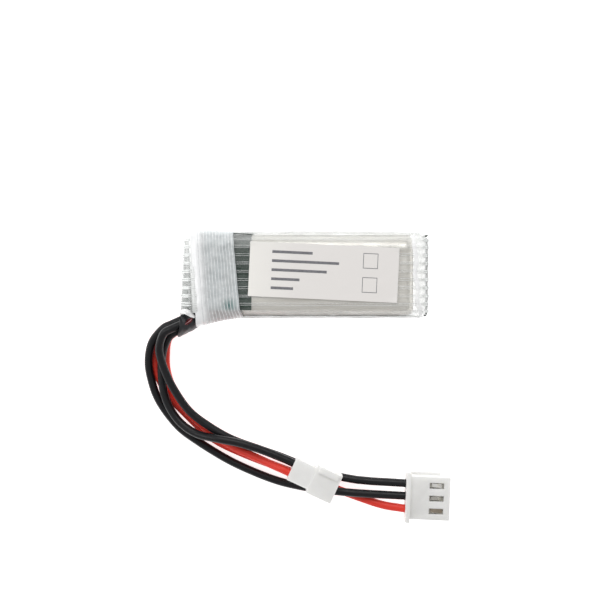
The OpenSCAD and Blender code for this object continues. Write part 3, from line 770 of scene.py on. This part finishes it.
def side_outline(inset):
    """Side view of the wrapping from the far end over the top, the terminal end and the underside."""
    top = PACK_TOP - 0.06 - inset
    left = TAPE_LOW.x + 0.05 + inset
    right = FIN_ROOT_X - inset
    upper = [
        (right + 0.1, MID_Z + 0.12), (right - 0.25, MID_Z + 0.9), (right - 1.5, MID_Z + 4.2),
        (right - 2.3, top - 0.75), (right - 2.75, top - 0.12), (right - 3.6, top),
    ]
    flat = [(x, top) for x in (16, 12, 8, 4, 0, -4, -8, -12, -16, -19)]
    shoulder = [
        (left + 2.9, top), (left + 2.35, top - 0.25), (left + 1.9, top - 0.95), (left + 0.9, top - 2.8),
    ]
    end = [(left + 0.15, MID_Z + 2.0), (left, MID_Z)]
    half = upper + flat + shoulder + end
    return half + [(x, 2 * MID_Z - z) for x, z in reversed(half[:-1])]


def outline_curve(outline, step):
    return smooth_curve([Vector((x, 0, z)) for x, z in outline], step)


def tape_outline():
    """The side outline with the fin, where the two ends of the tape stick together."""
    tip, root = TAPE_HIGH.x, TAPE_HIGH.x - 0.9
    start = [(tip, MID_Z + 0.07), (root, MID_Z + 0.08)]
    return start + side_outline(0.0) + [(root, MID_Z - 0.08), (tip, MID_Z - 0.07)]


def short_of_fin(x):
    """1 along the pack, 0 where the wrapping has narrowed to the fin."""
    return 1 - ramp(x, 22.0, 23.6)


def front_reach(x):
    """How far the sheet reaches round the front side: short where the leads leave the pack."""
    return 7.4 + 3.4 * ramp(x, -20.2, -18.2) * short_of_fin(x)


def back_reach(x):
    """How far the sheet reaches round the back side."""
    return 7.6 + 3.6 * ramp(x, -23.0, -20.5) * short_of_fin(x)


def wrap_grid():
    """Grid of the wrapping sheet: rows follow the side outline, columns go round the long sides."""
    grid = []
    for p in outline_curve(tape_outline(), 0.35):
        row = []
        low, high = -front_reach(p.x), back_reach(p.x)
        for j in range(TAPE_COLUMNS + 1):
            y = low + (high - low) * j / TAPE_COLUMNS
            q = draped(p.x, y, p.z)
            side = ramp(abs(y), 7.0, 9.0)
            out = 0.55 if y > 0 else 0.22
            q.y += math.copysign(side * (out + 0.2 * ripple(p.x * 0.35, y, p.z + TAPE_SEED, 1.5)), y)
            q.x += end_slant(p.x, y)
            away = ramp(abs(p.x - WRAP_MIDDLE_X), 20.0, 22.8)
            amount = 0.05 * (0.35 + 1.6 * away)
            q.z += math.copysign(amount, p.z - MID_Z) * ripple(p.x * 0.5, y, p.z + TAPE_SEED, 2.0)
            q.x += math.copysign(amount * away, p.x) * ripple(p.x, y * 0.7, p.z + TAPE_SEED + 9, 1.7)
            row.append(q)
        grid.append(row)
    return grid


tape_grid = wrap_grid()
tape_normals = grid_normals(tape_grid)
add_piece("lengthwise_tape_film", sheet_mesh(tape_grid, 0.09), "clear_tape", "lengthwise_tape")


def yarn_stretches(index, spot, lift):
    """The stretches of one fibre bundle that lie on the tape, each a list of (point, normal)."""
    stretches = [[]]
    for i, (row, normals) in enumerate(zip(tape_grid, tape_normals)):
        x = row[TAPE_COLUMNS // 2].x
        low, high = -front_reach(x), back_reach(x)
        wander = spot + 0.1 * ripple(i * 0.35, index * 7.0, 0, 6.0)
        at = (wander - low) / (high - low) * TAPE_COLUMNS
        if not 0.5 < at < TAPE_COLUMNS - 0.5 or x > YARN_END_X:
            stretches.append([])
            continue
        j = int(at)
        n = normals[j].lerp(normals[j + 1], at - j).normalized()
        stretches[-1].append((row[j].lerp(row[j + 1], at - j) + n * lift, n))
    return [stretch for stretch in stretches if len(stretch) > 3]


def yarn_rod(stretch):
    """One fibre bundle, which spreads where the tape turns round the ends of the pack."""
    path, ups = [p for p, n in stretch], [n for p, n in stretch]
    radii = [YARN_WIDTH / 2 * (1 + 1.1 * ramp(abs(p.x - YARN_MIDDLE_X), 22.0, 22.8)) for p in path]
    return tube_mesh(path, radii, 8, ups=ups, flat=YARN_HEIGHT / YARN_WIDTH)


def tape_yarns():
    """Pairs of flat fibre bundles along the tape, on its outer side."""
    on_top = tape_normals[len(tape_grid) // 4][TAPE_COLUMNS // 2]
    lift = YARN_LIFT if on_top.z > 0 else -YARN_LIFT
    middles = [YARN_FIRST + YARN_STEP * (2 - k) for k in range(YARN_PAIRS)]
    spots = [middle + side for middle in middles for side in (-PAIR_HALF_GAP, PAIR_HALF_GAP)]
    rods = [yarn_rod(s) for index, spot in enumerate(spots) for s in yarn_stretches(index, spot, lift)]
    add_piece("lengthwise_tape_yarns", joined(rods), "clear_tape", material=YARN_LONG, crisp=35)


tape_yarns()


# ---- Papers and folds under and in the tape ----

PAPER_THICK = 0.16


def terminal_sheet():
    """Green paper just under the tape, wrapped round the terminal end."""
    seed, across = 21.0, 60
    y_low = PAPER_LOW.y + 0.5
    grid = []
    for p in outline_curve(side_outline(0.24), 0.3):
        if p.x > PAPER_HIGH.x:
            continue
        row = []
        y_end = min(PAPER_HIGH.y + 2.4, back_reach(p.x) - 0.5)
        for j in range(across + 1):
            y = y_low + (y_end - y_low) * j / across
            q = draped(p.x, y, p.z)
            q.z += math.copysign(0.04, p.z - MID_Z) * ripple(p.x * 0.6, y, seed, 1.8)
            q.x += 0.05 * ripple(p.x, y, p.z + seed, 1.1) + end_slant(p.x, y)
            row.append(q)
        grid.append(row)
    add_piece("terminal_insulation", sheet_mesh(grid, PAPER_THICK), "insulating_paper", "terminal_paper")


def far_end_sheet():
    """Strip of green paper that stands on edge inside the far end of the tape."""
    def point(t, s):
        y, z = FAR_LOW.y - 0.2 + (FAR_HIGH.y - FAR_LOW.y + 0.4) * s, MID_Z + (t - 0.5) * 1.2
        curl = 0.35 * ramp(abs(y), 6.0, 7.6) * (1 if y < 0 else 0.3)
        x = FAR_HIGH.x - 0.02 + 0.2 * (t - 0.5) - curl + 0.05 * ripple(0, y, z, 1.5)
        return Vector((x, y, z))

    sheet = sheet_mesh(even_grid(12, 60, point), PAPER_THICK)
    add_piece("far_end_insulation", sheet, "insulating_paper", "far_end_paper")


def ribbon(points, width, thick, seed, rough=0.06, crown=0.28):
    """Narrow sheet along a smooth path, lying roughly flat, with an uneven surface."""
    path = smooth_curve(points, 0.25)
    grid = []
    for i, p in enumerate(path):
        side = heading(path, i).cross(UP).normalized()
        t = i / (len(path) - 1)
        half = width / 2 * min(1.0, 0.35 + 4 * min(t, 1 - t)) * (1 + 0.35 * ripple(i * 0.25, seed, 0, 1.3))
        row = []
        for j in range(7):
            a = -1 + j / 3
            arch = crown * width * (1 - a * a)
            uneven = rough * ripple(p.x, p.y, j * 0.4 + seed, 0.8)
            row.append(p + side * (a * half) + UP * (arch + uneven))
        grid.append(row)
    return sheet_mesh(grid, thick)


def film_folds():
    """Raised folds in the clear tape: across its far end, at two corners and along the back side; their white,
    faintly glowing film is partly a painted highlight.
    """
    top = PACK_TOP - 0.12
    folds = [
        ribbon([(21.0, 7.9, top - 1.0), (20.8, 6.0, top), (21.25, 3.0, top + 0.05), (21.0, 0.4, top + 0.08),
                (21.5, -2.4, top), (21.35, -4.6, top + 0.05), (21.9, -6.6, top - 0.5),
                (22.3, -7.9, top - 1.6)], 0.85, 0.05, 3.0, crown=0.12),
        ribbon([(21.6, -4.9, top - 0.3), (22.5, -6.2, top - 1.9), (23.5, -7.6, 7.6)], 0.35, 0.05, 5.0),
        ribbon([(-24.0, -7.35, 9.1), (-23.4, -7.0, 10.4), (-22.5, -6.95, 11.5), (-21.6, -7.5, 11.4),
                (-20.9, -8.0, 11.2)], 0.95, 0.05, 8.0),
        ribbon([(-14, 8.25, 9.6), (-6, 8.35, 9.9), (2, 8.45, 9.5), (10, 8.4, 9.9), (18, 8.3, 9.7)],
               0.5, 0.05, 12.0),
    ]
    add_piece("lengthwise_tape_folds", joined(folds), "clear_tape", material=FOLD_HIGHLIGHT)


def paper_scraps():
    """Green paper edges that show: one at each far corner and one at the tape's open back side."""
    thick, back_thick = 0.12, 0.1
    scraps = [
        ribbon([(22.9, 7.5, 7.3), (23.4, 7.65, 7.5), (24.0, 7.8, 7.5)], 0.34, thick, 2.0, crown=0.1),
        ribbon([(23.75, -6.7, 7.0), (23.6, -7.2, 7.3), (23.35, -7.85, 7.4)], 0.5, thick, 6.0, crown=0.1),
        ribbon([(-14.2, 7.98, 11.75), (-12.0, 7.9, 11.8), (-9.7, 7.84, 11.8)], 0.16, back_thick, 4.0,
               rough=0.02, crown=0.1),
    ]
    add_piece("insulation_edges", joined(scraps), "insulating_paper")


terminal_sheet()
far_end_sheet()
film_folds()
paper_scraps()


# ---- Crosswise band ----

BAND_HALF_W = 8.02
BAND_HALF_H = PACK_TOP / 2 + 0.2
BAND_R = 3.0
BAND_ROWS, BAND_COLUMNS = 180, 44
BAND_RIGHT_X = -12.82  # where its slanted edge crosses the middle of the pack
BAND_YARNS = 12


def band_left(y):
    return BAND_LOW.x - 0.4 - BAND_LEFT_SLANT * y


def band_right(y):
    return BAND_RIGHT_X - BAND_RIGHT_SLANT * y + 0.5 * ramp(-y, 6.5, 8.2)


def band_section(u):
    """Point and outward direction around the band's end view, u from 0 to 1, starting underneath."""
    w, h = BAND_HALF_W - BAND_R, BAND_HALF_H - BAND_R
    arc = BAND_R * math.pi / 2
    lengths = [w, arc, 2 * h, arc, 2 * w, arc, 2 * h, arc, w]
    centres = [(0.0, -h), (w, -h), (w, h), (-w, h), (-w, -h)]
    s = (u % 1.0) * sum(lengths)
    leg = 0
    while leg < len(lengths) - 1 and s > lengths[leg]:
        s -= lengths[leg]
        leg += 1
    quarter, on_arc = divmod(leg, 2)
    angle = (quarter - 1) * math.pi / 2 + (s / BAND_R if on_arc else 0.0)
    out = (math.cos(angle), math.sin(angle))
    along = 0.0 if on_arc else s
    y, z = centres[quarter + on_arc]
    return y + BAND_R * out[0] - along * out[1], z + BAND_R * out[1] + along * out[0] + MID_Z, out


def band_point(u, v, lift=0.0):
    """Point of the band: u around the pack, v from its edge by the leads to its slanted edge."""
    y, z, out = band_section(u)
    x = band_left(y) + (band_right(y) - band_left(y)) * v
    near_leads = 1 - v
    front = ramp(-y, 5.0, 8.0) * ramp(z, 0.5, 4.0) * (1 - ramp(z, 10.0, 13.0))
    back = ramp(y, 5.0, 8.0)
    bulge = 1.75 * near_leads ** 1.4 * front + (0.38 + 0.3 * near_leads) * back
    bulge += 0.12 * ripple(x * 0.8, y, z, 1.7) * (0.4 + near_leads)
    roll = 0.45 * (1 - ramp(v, 0.0, 0.14)) * ramp(abs(z - MID_Z), 4.0, 6.5)
    shift = lift + bulge - roll
    x += 0.08 * ripple(v * 3, u * 40, 0, 1.3) * (1 if v > 0.5 else 0.6)
    return Vector((x, y + out[0] * shift, z + out[1] * shift))


def band_yarn(k):
    """One fibre bundle round the band, lying on the film; its last point lies on its first."""
    v = 0.13 + 0.86 * (k + 0.5) / BAND_YARNS
    path, ups = [], []
    for i in range(BAND_ROWS + 1):
        u = i / BAND_ROWS
        path.append(band_point(u, v + 0.008 * ripple(i * 0.08, k * 5.0, 0, 1.0), 0.09))
        ups.append(Vector((0, *band_section(u)[2])))
    path[-1] = path[-1] + ups[-1] * 0.02
    return tube_mesh(path, 0.08, 8, ups=ups, flat=0.5)


band_grid = even_grid(BAND_ROWS, BAND_COLUMNS, band_point)[:-1]  # its last row would repeat its first
add_piece("cross_band_film", sheet_mesh(band_grid, 0.12, closed=True), "banding_tape", "cross_band")
add_piece("cross_band_yarns", joined([band_yarn(k) for k in range(BAND_YARNS)]), "banding_tape",
          material=YARN_CROSS, crisp=35)


# ---- Label ----

LABEL_SIZE = Vector((28.3, 10.4))
LABEL_TURN = math.radians(-2.7)
LABEL_AT = Vector(((LABEL_LOW.x + LABEL_HIGH.x) / 2, (LABEL_LOW.y + LABEL_HIGH.y) / 2, PACK_TOP + 0.1))
LABEL_COLUMNS, LABEL_ROWS = 70, 30
PRINT_LIFT, PRINT_THICK = 0.056, 0.012


def label_point(a, b, lift=0.0):
    """Point of the label at shares a along and b across it."""
    x = (a - 0.5) * LABEL_SIZE.x
    y = (b - 0.5) * LABEL_SIZE.y
    corner = ramp(abs(a - 0.5), 0.44, 0.5) * ramp(abs(b - 0.5), 0.4, 0.5)
    z = 0.03 * ripple(x * 0.5, y, 3.0, 2.0) + 0.12 * corner
    c, s = math.cos(LABEL_TURN), math.sin(LABEL_TURN)
    return Vector((LABEL_AT.x + x * c - y * s, LABEL_AT.y + x * s + y * c, LABEL_AT.z + z + lift))


def print_bar(a0, a1, b0, b1):
    """Thin printed bar that follows the label's surface."""
    def point(t, s):
        return label_point(a0 + (a1 - a0) * t, b0 + (b1 - b0) * s, PRINT_LIFT)

    return sheet_mesh(even_grid(max(2, int((a1 - a0) * LABEL_COLUMNS)), 3, point), PRINT_THICK)


def print_frame(a0, a1, b0, b1):
    """Plain rectangular frame of four printed bars."""
    along, across = 0.004, 0.012
    return [print_bar(a0, a1, b0, b0 + across),
            print_bar(a0, a1, b1 - across, b1),
            print_bar(a0, a0 + along, b0 + across, b1 - across),
            print_bar(a1 - along, a1, b0 + across, b1 - across)]


def label_print():
    """Plain bars in place of wording, and two plain frames in place of marks."""
    bars = []
    for row, end in enumerate((0.42, 0.60, 0.52, 0.34, 0.30)):
        middle = 0.83 - row * 0.165
        bars.append(print_bar(0.15, end, middle - 0.025, middle + 0.025))
    for b0, b1 in ((0.6, 0.88), (0.16, 0.44)):
        bars += print_frame(0.76, 0.86, b0, b1)
    return joined(bars)


label_grid = even_grid(LABEL_COLUMNS, LABEL_ROWS, label_point)
add_piece("paper_label", sheet_mesh(label_grid, 0.1), "label_paper", "label", crisp=40)
add_piece("label_print", label_print(), "label_paper", material=INK, crisp=0)


# ---- Leads ----

LEAD_R = 0.8
BORE_R = 0.55
STRAND_R, STRAND_CIRCLE_R, STRANDS = 0.14, 0.27, 7
STRAND_LAY = 30  # path points in one turn of the strands
# Bare length at both ends of the strands: steps in the pack and in the plug, and their size
BARE_IN_PACK, BARE_IN_PLUG, BARE_STEP = 5, 6, 0.3


def flat_faces(bm):
    """Groups of neighbouring faces that lie in one plane, apart from those that face up or down."""
    seen, groups = set(), []
    for face in bm.faces:
        if face in seen or abs(face.normal.z) > 0.9:
            continue
        seen.add(face)
        group, queue = [], [face]
        while queue:
            current = queue.pop()
            group.append(current)
            for other in (f for edge in current.edges for f in edge.link_faces):
                if other not in seen and other.normal.dot(face.normal) > 0.99999:
                    seen.add(other)
                    queue.append(other)
        groups.append(group)
    return groups


def tube_rings(node):
    """Middle of each ring of a tube-shaped CAD node, in order from one end."""
    bm = bmesh.new()
    bm.from_mesh(frame["nodes"][node].data)
    bmesh.ops.remove_doubles(bm, verts=bm.verts, dist=WELD)
    bm.normal_update()
    bm.verts.index_update()
    bm.faces.index_update()
    cap = max(flat_faces(bm), key=lambda group: (len(group), -group[0].index))
    ring = {v for face in cap for v in face.verts}
    seen, centres = set(ring), []
    while ring:
        in_order = sorted(ring, key=lambda v: v.index)
        centres.append(sum((v.co for v in in_order), Vector()) / len(ring) / MM)
        ring = {e.other_vert(v) for v in ring for e in v.link_edges} - seen
        seen |= ring
    bm.free()
    return centres


def lead_path(name, parts):
    """Centre line of a lead through its CAD parts, from inside the pack to the plug."""
    line = []
    for part in parts:
        centres = tube_rings(f"{name}_{part}")
        if line:
            backwards = (centres[0] - line[-1]).length > (centres[-1] - line[-1]).length
        else:
            backwards = centres[0].y < centres[-1].y
        if backwards:
            centres.reverse()
        line += centres
    return smooth_curve(line, 0.3)


def swing_blend(obj):
    """Bakes a piece's placing into its mesh; nothing bends it between the pack and the loop of leads."""
    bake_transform(obj)


def plug_blend(obj, plug):
    """Bakes a piece's placing into its mesh; the plug's pivot and axis are looked up but not used to bend it."""
    pivot = joint_mm(f"{plug}_lift")
    axis = Vector(joint(f"{plug}_lift")["axis"])
    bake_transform(obj)


def strand_mesh(points, to_plug):
    """Bundle of fine wires with a slight lay, a little longer than the insulation at its bare end."""
    if to_plug:
        ahead = (points[-1] - points[-2]).normalized()
        line = points + [points[-1] + ahead * (BARE_STEP * k) for k in range(1, BARE_IN_PLUG + 1)]
    else:
        back = (points[0] - points[1]).normalized()
        line = [points[0] + back * (BARE_STEP * k) for k in range(BARE_IN_PACK, 0, -1)] + points
    outer = STRANDS - 1
    wires = []
    for k in range(STRANDS):
        wire = []
        r = STRAND_CIRCLE_R if k < outer else 0.0
        for i, p in enumerate(line):
            ahead = heading(line, i)
            side = ahead.cross(UP).normalized()
            turn = 2 * math.pi * (k / outer + i / STRAND_LAY)
            wire.append(p + side * (r * math.cos(turn)) + side.cross(ahead) * (r * math.sin(turn)))
        wires.append(tube_mesh(wire, STRAND_R, 6))
    return joined(wires)


def build_lead(name, plug, colour, split_x):
    """Insulation and strands of one lead, each in two pieces that meet where nothing bends.

    The cut is the last point whose x is below split_x.
    """
    path = lead_path(name, ("root", "lead", "tail"))
    cut = max((i for i, p in enumerate(path) if i and p.x < split_x), default=0)
    for half, points, nodes in (("inner", path[:cut + 1], (f"{name}_root", f"{name}_lead")),
                                ("outer", path[cut:], (f"{name}_tail",))):
        to_plug = half == "outer"
        tube, strands = tube_mesh(points, LEAD_R, 24, bore=BORE_R), strand_mesh(points, to_plug)
        for piece in (add_piece(f"{name}_{half}", tube, colour, *nodes, body=None, crisp=50),
                      add_piece(f"{name}_{half}_strands", strands, "copper", body=None, crisp=35)):
            if to_plug:
                plug_blend(piece, plug)
            else:
                swing_blend(piece)


for lead in (
    ("main_positive", "main_plug", "silicone_red", -9.0),
    ("main_negative", "main_plug", "silicone_black", -9.0),
    ("balance_positive", "balance_plug", "silicone_red", 2.0),
    ("balance_midpoint", "balance_plug", "silicone_black", 2.0),
    ("balance_negative", "balance_plug", "silicone_black", 2.0),
):
    build_lead(*lead)
for node in ("root_strands", "lead_strands", "main_tail_strands", "balance_tail_strands"):
    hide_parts(node)


# ---- Exit sleeve ----

SLEEVE_HALF_WIDE, SLEEVE_HALF_TALL = 1.82, 2.86
SLEEVE_STEP, SLEEVE_RINGS, SLEEVE_AROUND = 0.2, 27, 48
SQUARENESS = 0.86  # power below 1 that makes the round section fuller in its corners
NICK_FIRST, NICK_RINGS = 11, 10


def fuller(x):
    return math.copysign(abs(x) ** SQUARENESS, x)


def sleeve_point(line, i, a, lift=0.0):
    """Point of the sleeve's skin at ring i along the bundle, at angle a round it."""
    rows = len(line) - 1
    back = (rows - i) / rows
    ahead = heading(line, i)
    across = Vector((ahead.y, -ahead.x, 0))
    c, s = math.cos(a), math.sin(a)
    wide = SLEEVE_HALF_WIDE * fuller(c)
    tall = SLEEVE_HALF_TALL * fuller(s)
    crease = 0.13 * ripple(i * 0.28, wide * 1.2, tall, 1.0) + 0.05 * math.sin(i * 0.9 + 2 * a)
    grow = 1 + 0.1 * (1 - back) ** 3
    p = line[i] + across * (wide * grow + c * (crease + lift))
    p.z = (SLEEVE_LOW.z + SLEEVE_HIGH.z) / 2 + tall * grow + s * (crease + lift)
    return p + ahead * ((-0.1 - 1.3 * c + 0.12 * math.sin(3 * a)) * (1 - back) ** 2)


def nick_mesh(line, half_width, lift):
    """Lens-shaped patch on the sleeve, where the red lead shows through its nick: (verts, faces)."""
    grid = []
    for ring in range(NICK_RINGS):
        t = ring / (NICK_RINGS - 1)
        half = half_width * math.sin(math.pi * (0.08 + 0.84 * t))
        middle = 1.56 + 0.12 * t
        angles = [middle + half * (j / 3 - 1) for j in range(7)]
        grid.append([sleeve_point(line, NICK_FIRST + ring, a, lift) for a in angles])
    return sheet_mesh(grid, 0.05)


def exit_sleeve():
    """Shrunk sleeve round all the leads where they leave the pack, with an uneven mouth and a nick."""
    line = resample(lead_path("balance_negative", ("root",)), SLEEVE_STEP)[-SLEEVE_RINGS:]
    angles = [2 * math.pi * j / SLEEVE_AROUND for j in range(SLEEVE_AROUND)]
    grid = [[sleeve_point(line, i, a) for i in range(len(line))] for a in angles]
    add_piece("exit_sleeve_skin", sheet_mesh(grid, 0.22, closed=True), "shrink_sleeve", "exit_sleeve")
    # The nick's dark red is painted shade and its pale pink line is a painted highlight.
    for name, look, half_width, lift in (("exit_sleeve_nick", NICK_SHADED_RED, 0.19, 0.12),
                                         ("exit_sleeve_nick_highlight", NICK_HIGHLIGHT, 0.035, 0.17)):
        add_piece(name, nick_mesh(line, half_width, lift), "silicone_red", material=look)


exit_sleeve()


# ---- Plugs ----

CONTACT_PITCH = 2.5
MOUNT_PLACE = 2.5  # the plug's front mount lies half way between contacts 2 and 3
TONGUE_BASE_Z = 0.88
TONGUE_ROOT, TONGUE_LENGTH = 1.35, 2.3  # both measured back from the front face
TONGUE_WIDTH, TONGUE_TAPER = 0.86, 0.2


def moulded(plug, radius_mm):
    """Moulded shell of a plug: the CAD housing's own shape with its edges rounded."""
    mesh = frame["nodes"][f"{plug}_housing"].data.copy()
    mesh.materials.clear()
    mesh.materials.append(MATERIALS["nylon_white"])
    bm = bmesh.new()
    bm.from_mesh(mesh)
    bmesh.ops.remove_doubles(bm, verts=bm.verts, dist=WELD)
    bmesh.ops.dissolve_limit(bm, angle_limit=math.radians(2), verts=bm.verts, edges=bm.edges)
    bm.to_mesh(mesh)
    bm.free()
    mesh.shade_smooth()
    obj = new_object(f"{plug}_shell", mesh)
    bevel = obj.modifiers.new("edges", "BEVEL")
    bevel.width = radius_mm * MM
    bevel.segments = 3
    bevel.limit_method = "ANGLE"
    bevel.angle_limit = math.radians(40)
    settle(obj, "nylon_white", f"{plug}_housing", body=plug)


def tongue_mesh(middle, ahead, aside, tip, skew, curl):
    """Sprung tongue that rises towards the back of its window: (verts, faces)."""
    def point(t, s):
        rise = TONGUE_BASE_Z + (tip - TONGUE_BASE_Z) * math.sin(t * 1.5) + curl * t * t * (1 - t)
        y = (s - 0.5) * (TONGUE_WIDTH - TONGUE_TAPER * t) + skew * (t - 0.5)
        return middle - ahead * (TONGUE_ROOT + TONGUE_LENGTH * t) + aside * y + UP * rise

    return sheet_mesh(even_grid(12, 4, point), 0.1)


def contact_tongues():
    """Sprung tongue of each balance contact, standing up in its window; all are tinned metal, with painted light
    on contact 3 and painted shade on contact 1.
    """
    mount = next(m for m in frame["record"]["mounts"] if m["name"] == "balance_plug_front")
    front, ahead = Vector(mount["pos_m"]) / MM, Vector(mount["axis"])
    aside = Vector((-ahead.y, ahead.x, 0))
    tongues = (
        (3, 1.95, 0.22, 0.1, CONTACT_LIT),
        (2, 1.5, -0.05, 0.35, MATERIALS["tinned_contact"]),
        (1, 1.25, 0.06, 0.2, CONTACT_SHADED),
    )
    for number, tip, skew, curl, tin_shading in tongues:
        middle = front + aside * (CONTACT_PITCH * (number - MOUNT_PLACE))
        tongue = tongue_mesh(middle, ahead, aside, tip, skew, curl)
        add_piece(f"balance_contact_tongue_{number}", tongue, "tinned_contact",
                  body="balance_plug", material=tin_shading, crisp=30)


contact_tongues()
moulded("main_plug", 0.16)
moulded("balance_plug", 0.14)


# ---- CAD nodes that stay ----

for node, obj in frame["nodes"].items():
    if not obj.hide_render:
        obj.data.materials.clear()
        obj.data.materials.append(MATERIALS[SLOT_OF[node]])


# ---- Stage, light and camera (metres) ----

FLOOR_HALF = 1.5
FLOOR_GAP = 0.0001
CAMERA_AT = (-0.0008, -0.0047, 0.25)
LAMPS = (
    ("key_light", (-0.02, 0.4, 0.46), 0.5, 1.45),
    ("left_light", (-0.5, 0.08, 0.4), 0.35, 0.8),
)


def floor():
    """Pale floor just under the pack, with a little light of its own so that it stays white."""
    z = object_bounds()[0][2] - FLOOR_GAP
    corners = [(x * FLOOR_HALF, y * FLOOR_HALF, z) for x, y in ((-1, -1), (1, -1), (1, 1), (-1, 1))]
    mesh = bpy.data.meshes.new("floor")
    mesh.from_pydata(corners, [], [(0, 1, 2, 3)])
    f = Finish("floor_paper", roughness=0.9, specular=0.1)
    f.colour(two_tone(f, (0.93, 0.93, 0.93), 0.01, 40))
    f.glow(0.75)
    mesh.materials.append(f.material)
    new_object("floor", mesh)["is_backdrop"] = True


def studio():
    """Even white surroundings and two soft lamps that point at the pack."""
    world = bpy.data.worlds.new("studio")
    bpy.context.scene.world = world
    world.use_nodes = True
    background = world.node_tree.nodes["Background"]
    background.inputs["Color"].default_value = (1, 1, 1, 1)
    background.inputs["Strength"].default_value = 0.52
    for name, at, size, power in LAMPS:
        light = bpy.data.lights.new(name, "AREA")
        light.shape = "DISK"
        light.size = size
        light.energy = power
        lamp = new_object(name, light)
        lamp.location = at
        lamp.rotation_euler = (-Vector(at)).to_track_quat("-Z", "Y").to_euler()


def camera():
    """Camera straight above the pack, looking down."""
    data = bpy.data.cameras.new("camera")
    data.lens = 75
    data.sensor_width = 36
    data.clip_start = 0.01
    obj = new_object("camera", data)
    obj.location = CAMERA_AT
    bpy.context.scene.camera = obj
    bpy.context.scene.view_settings.view_transform = "Standard"


floor()
studio()
camera()
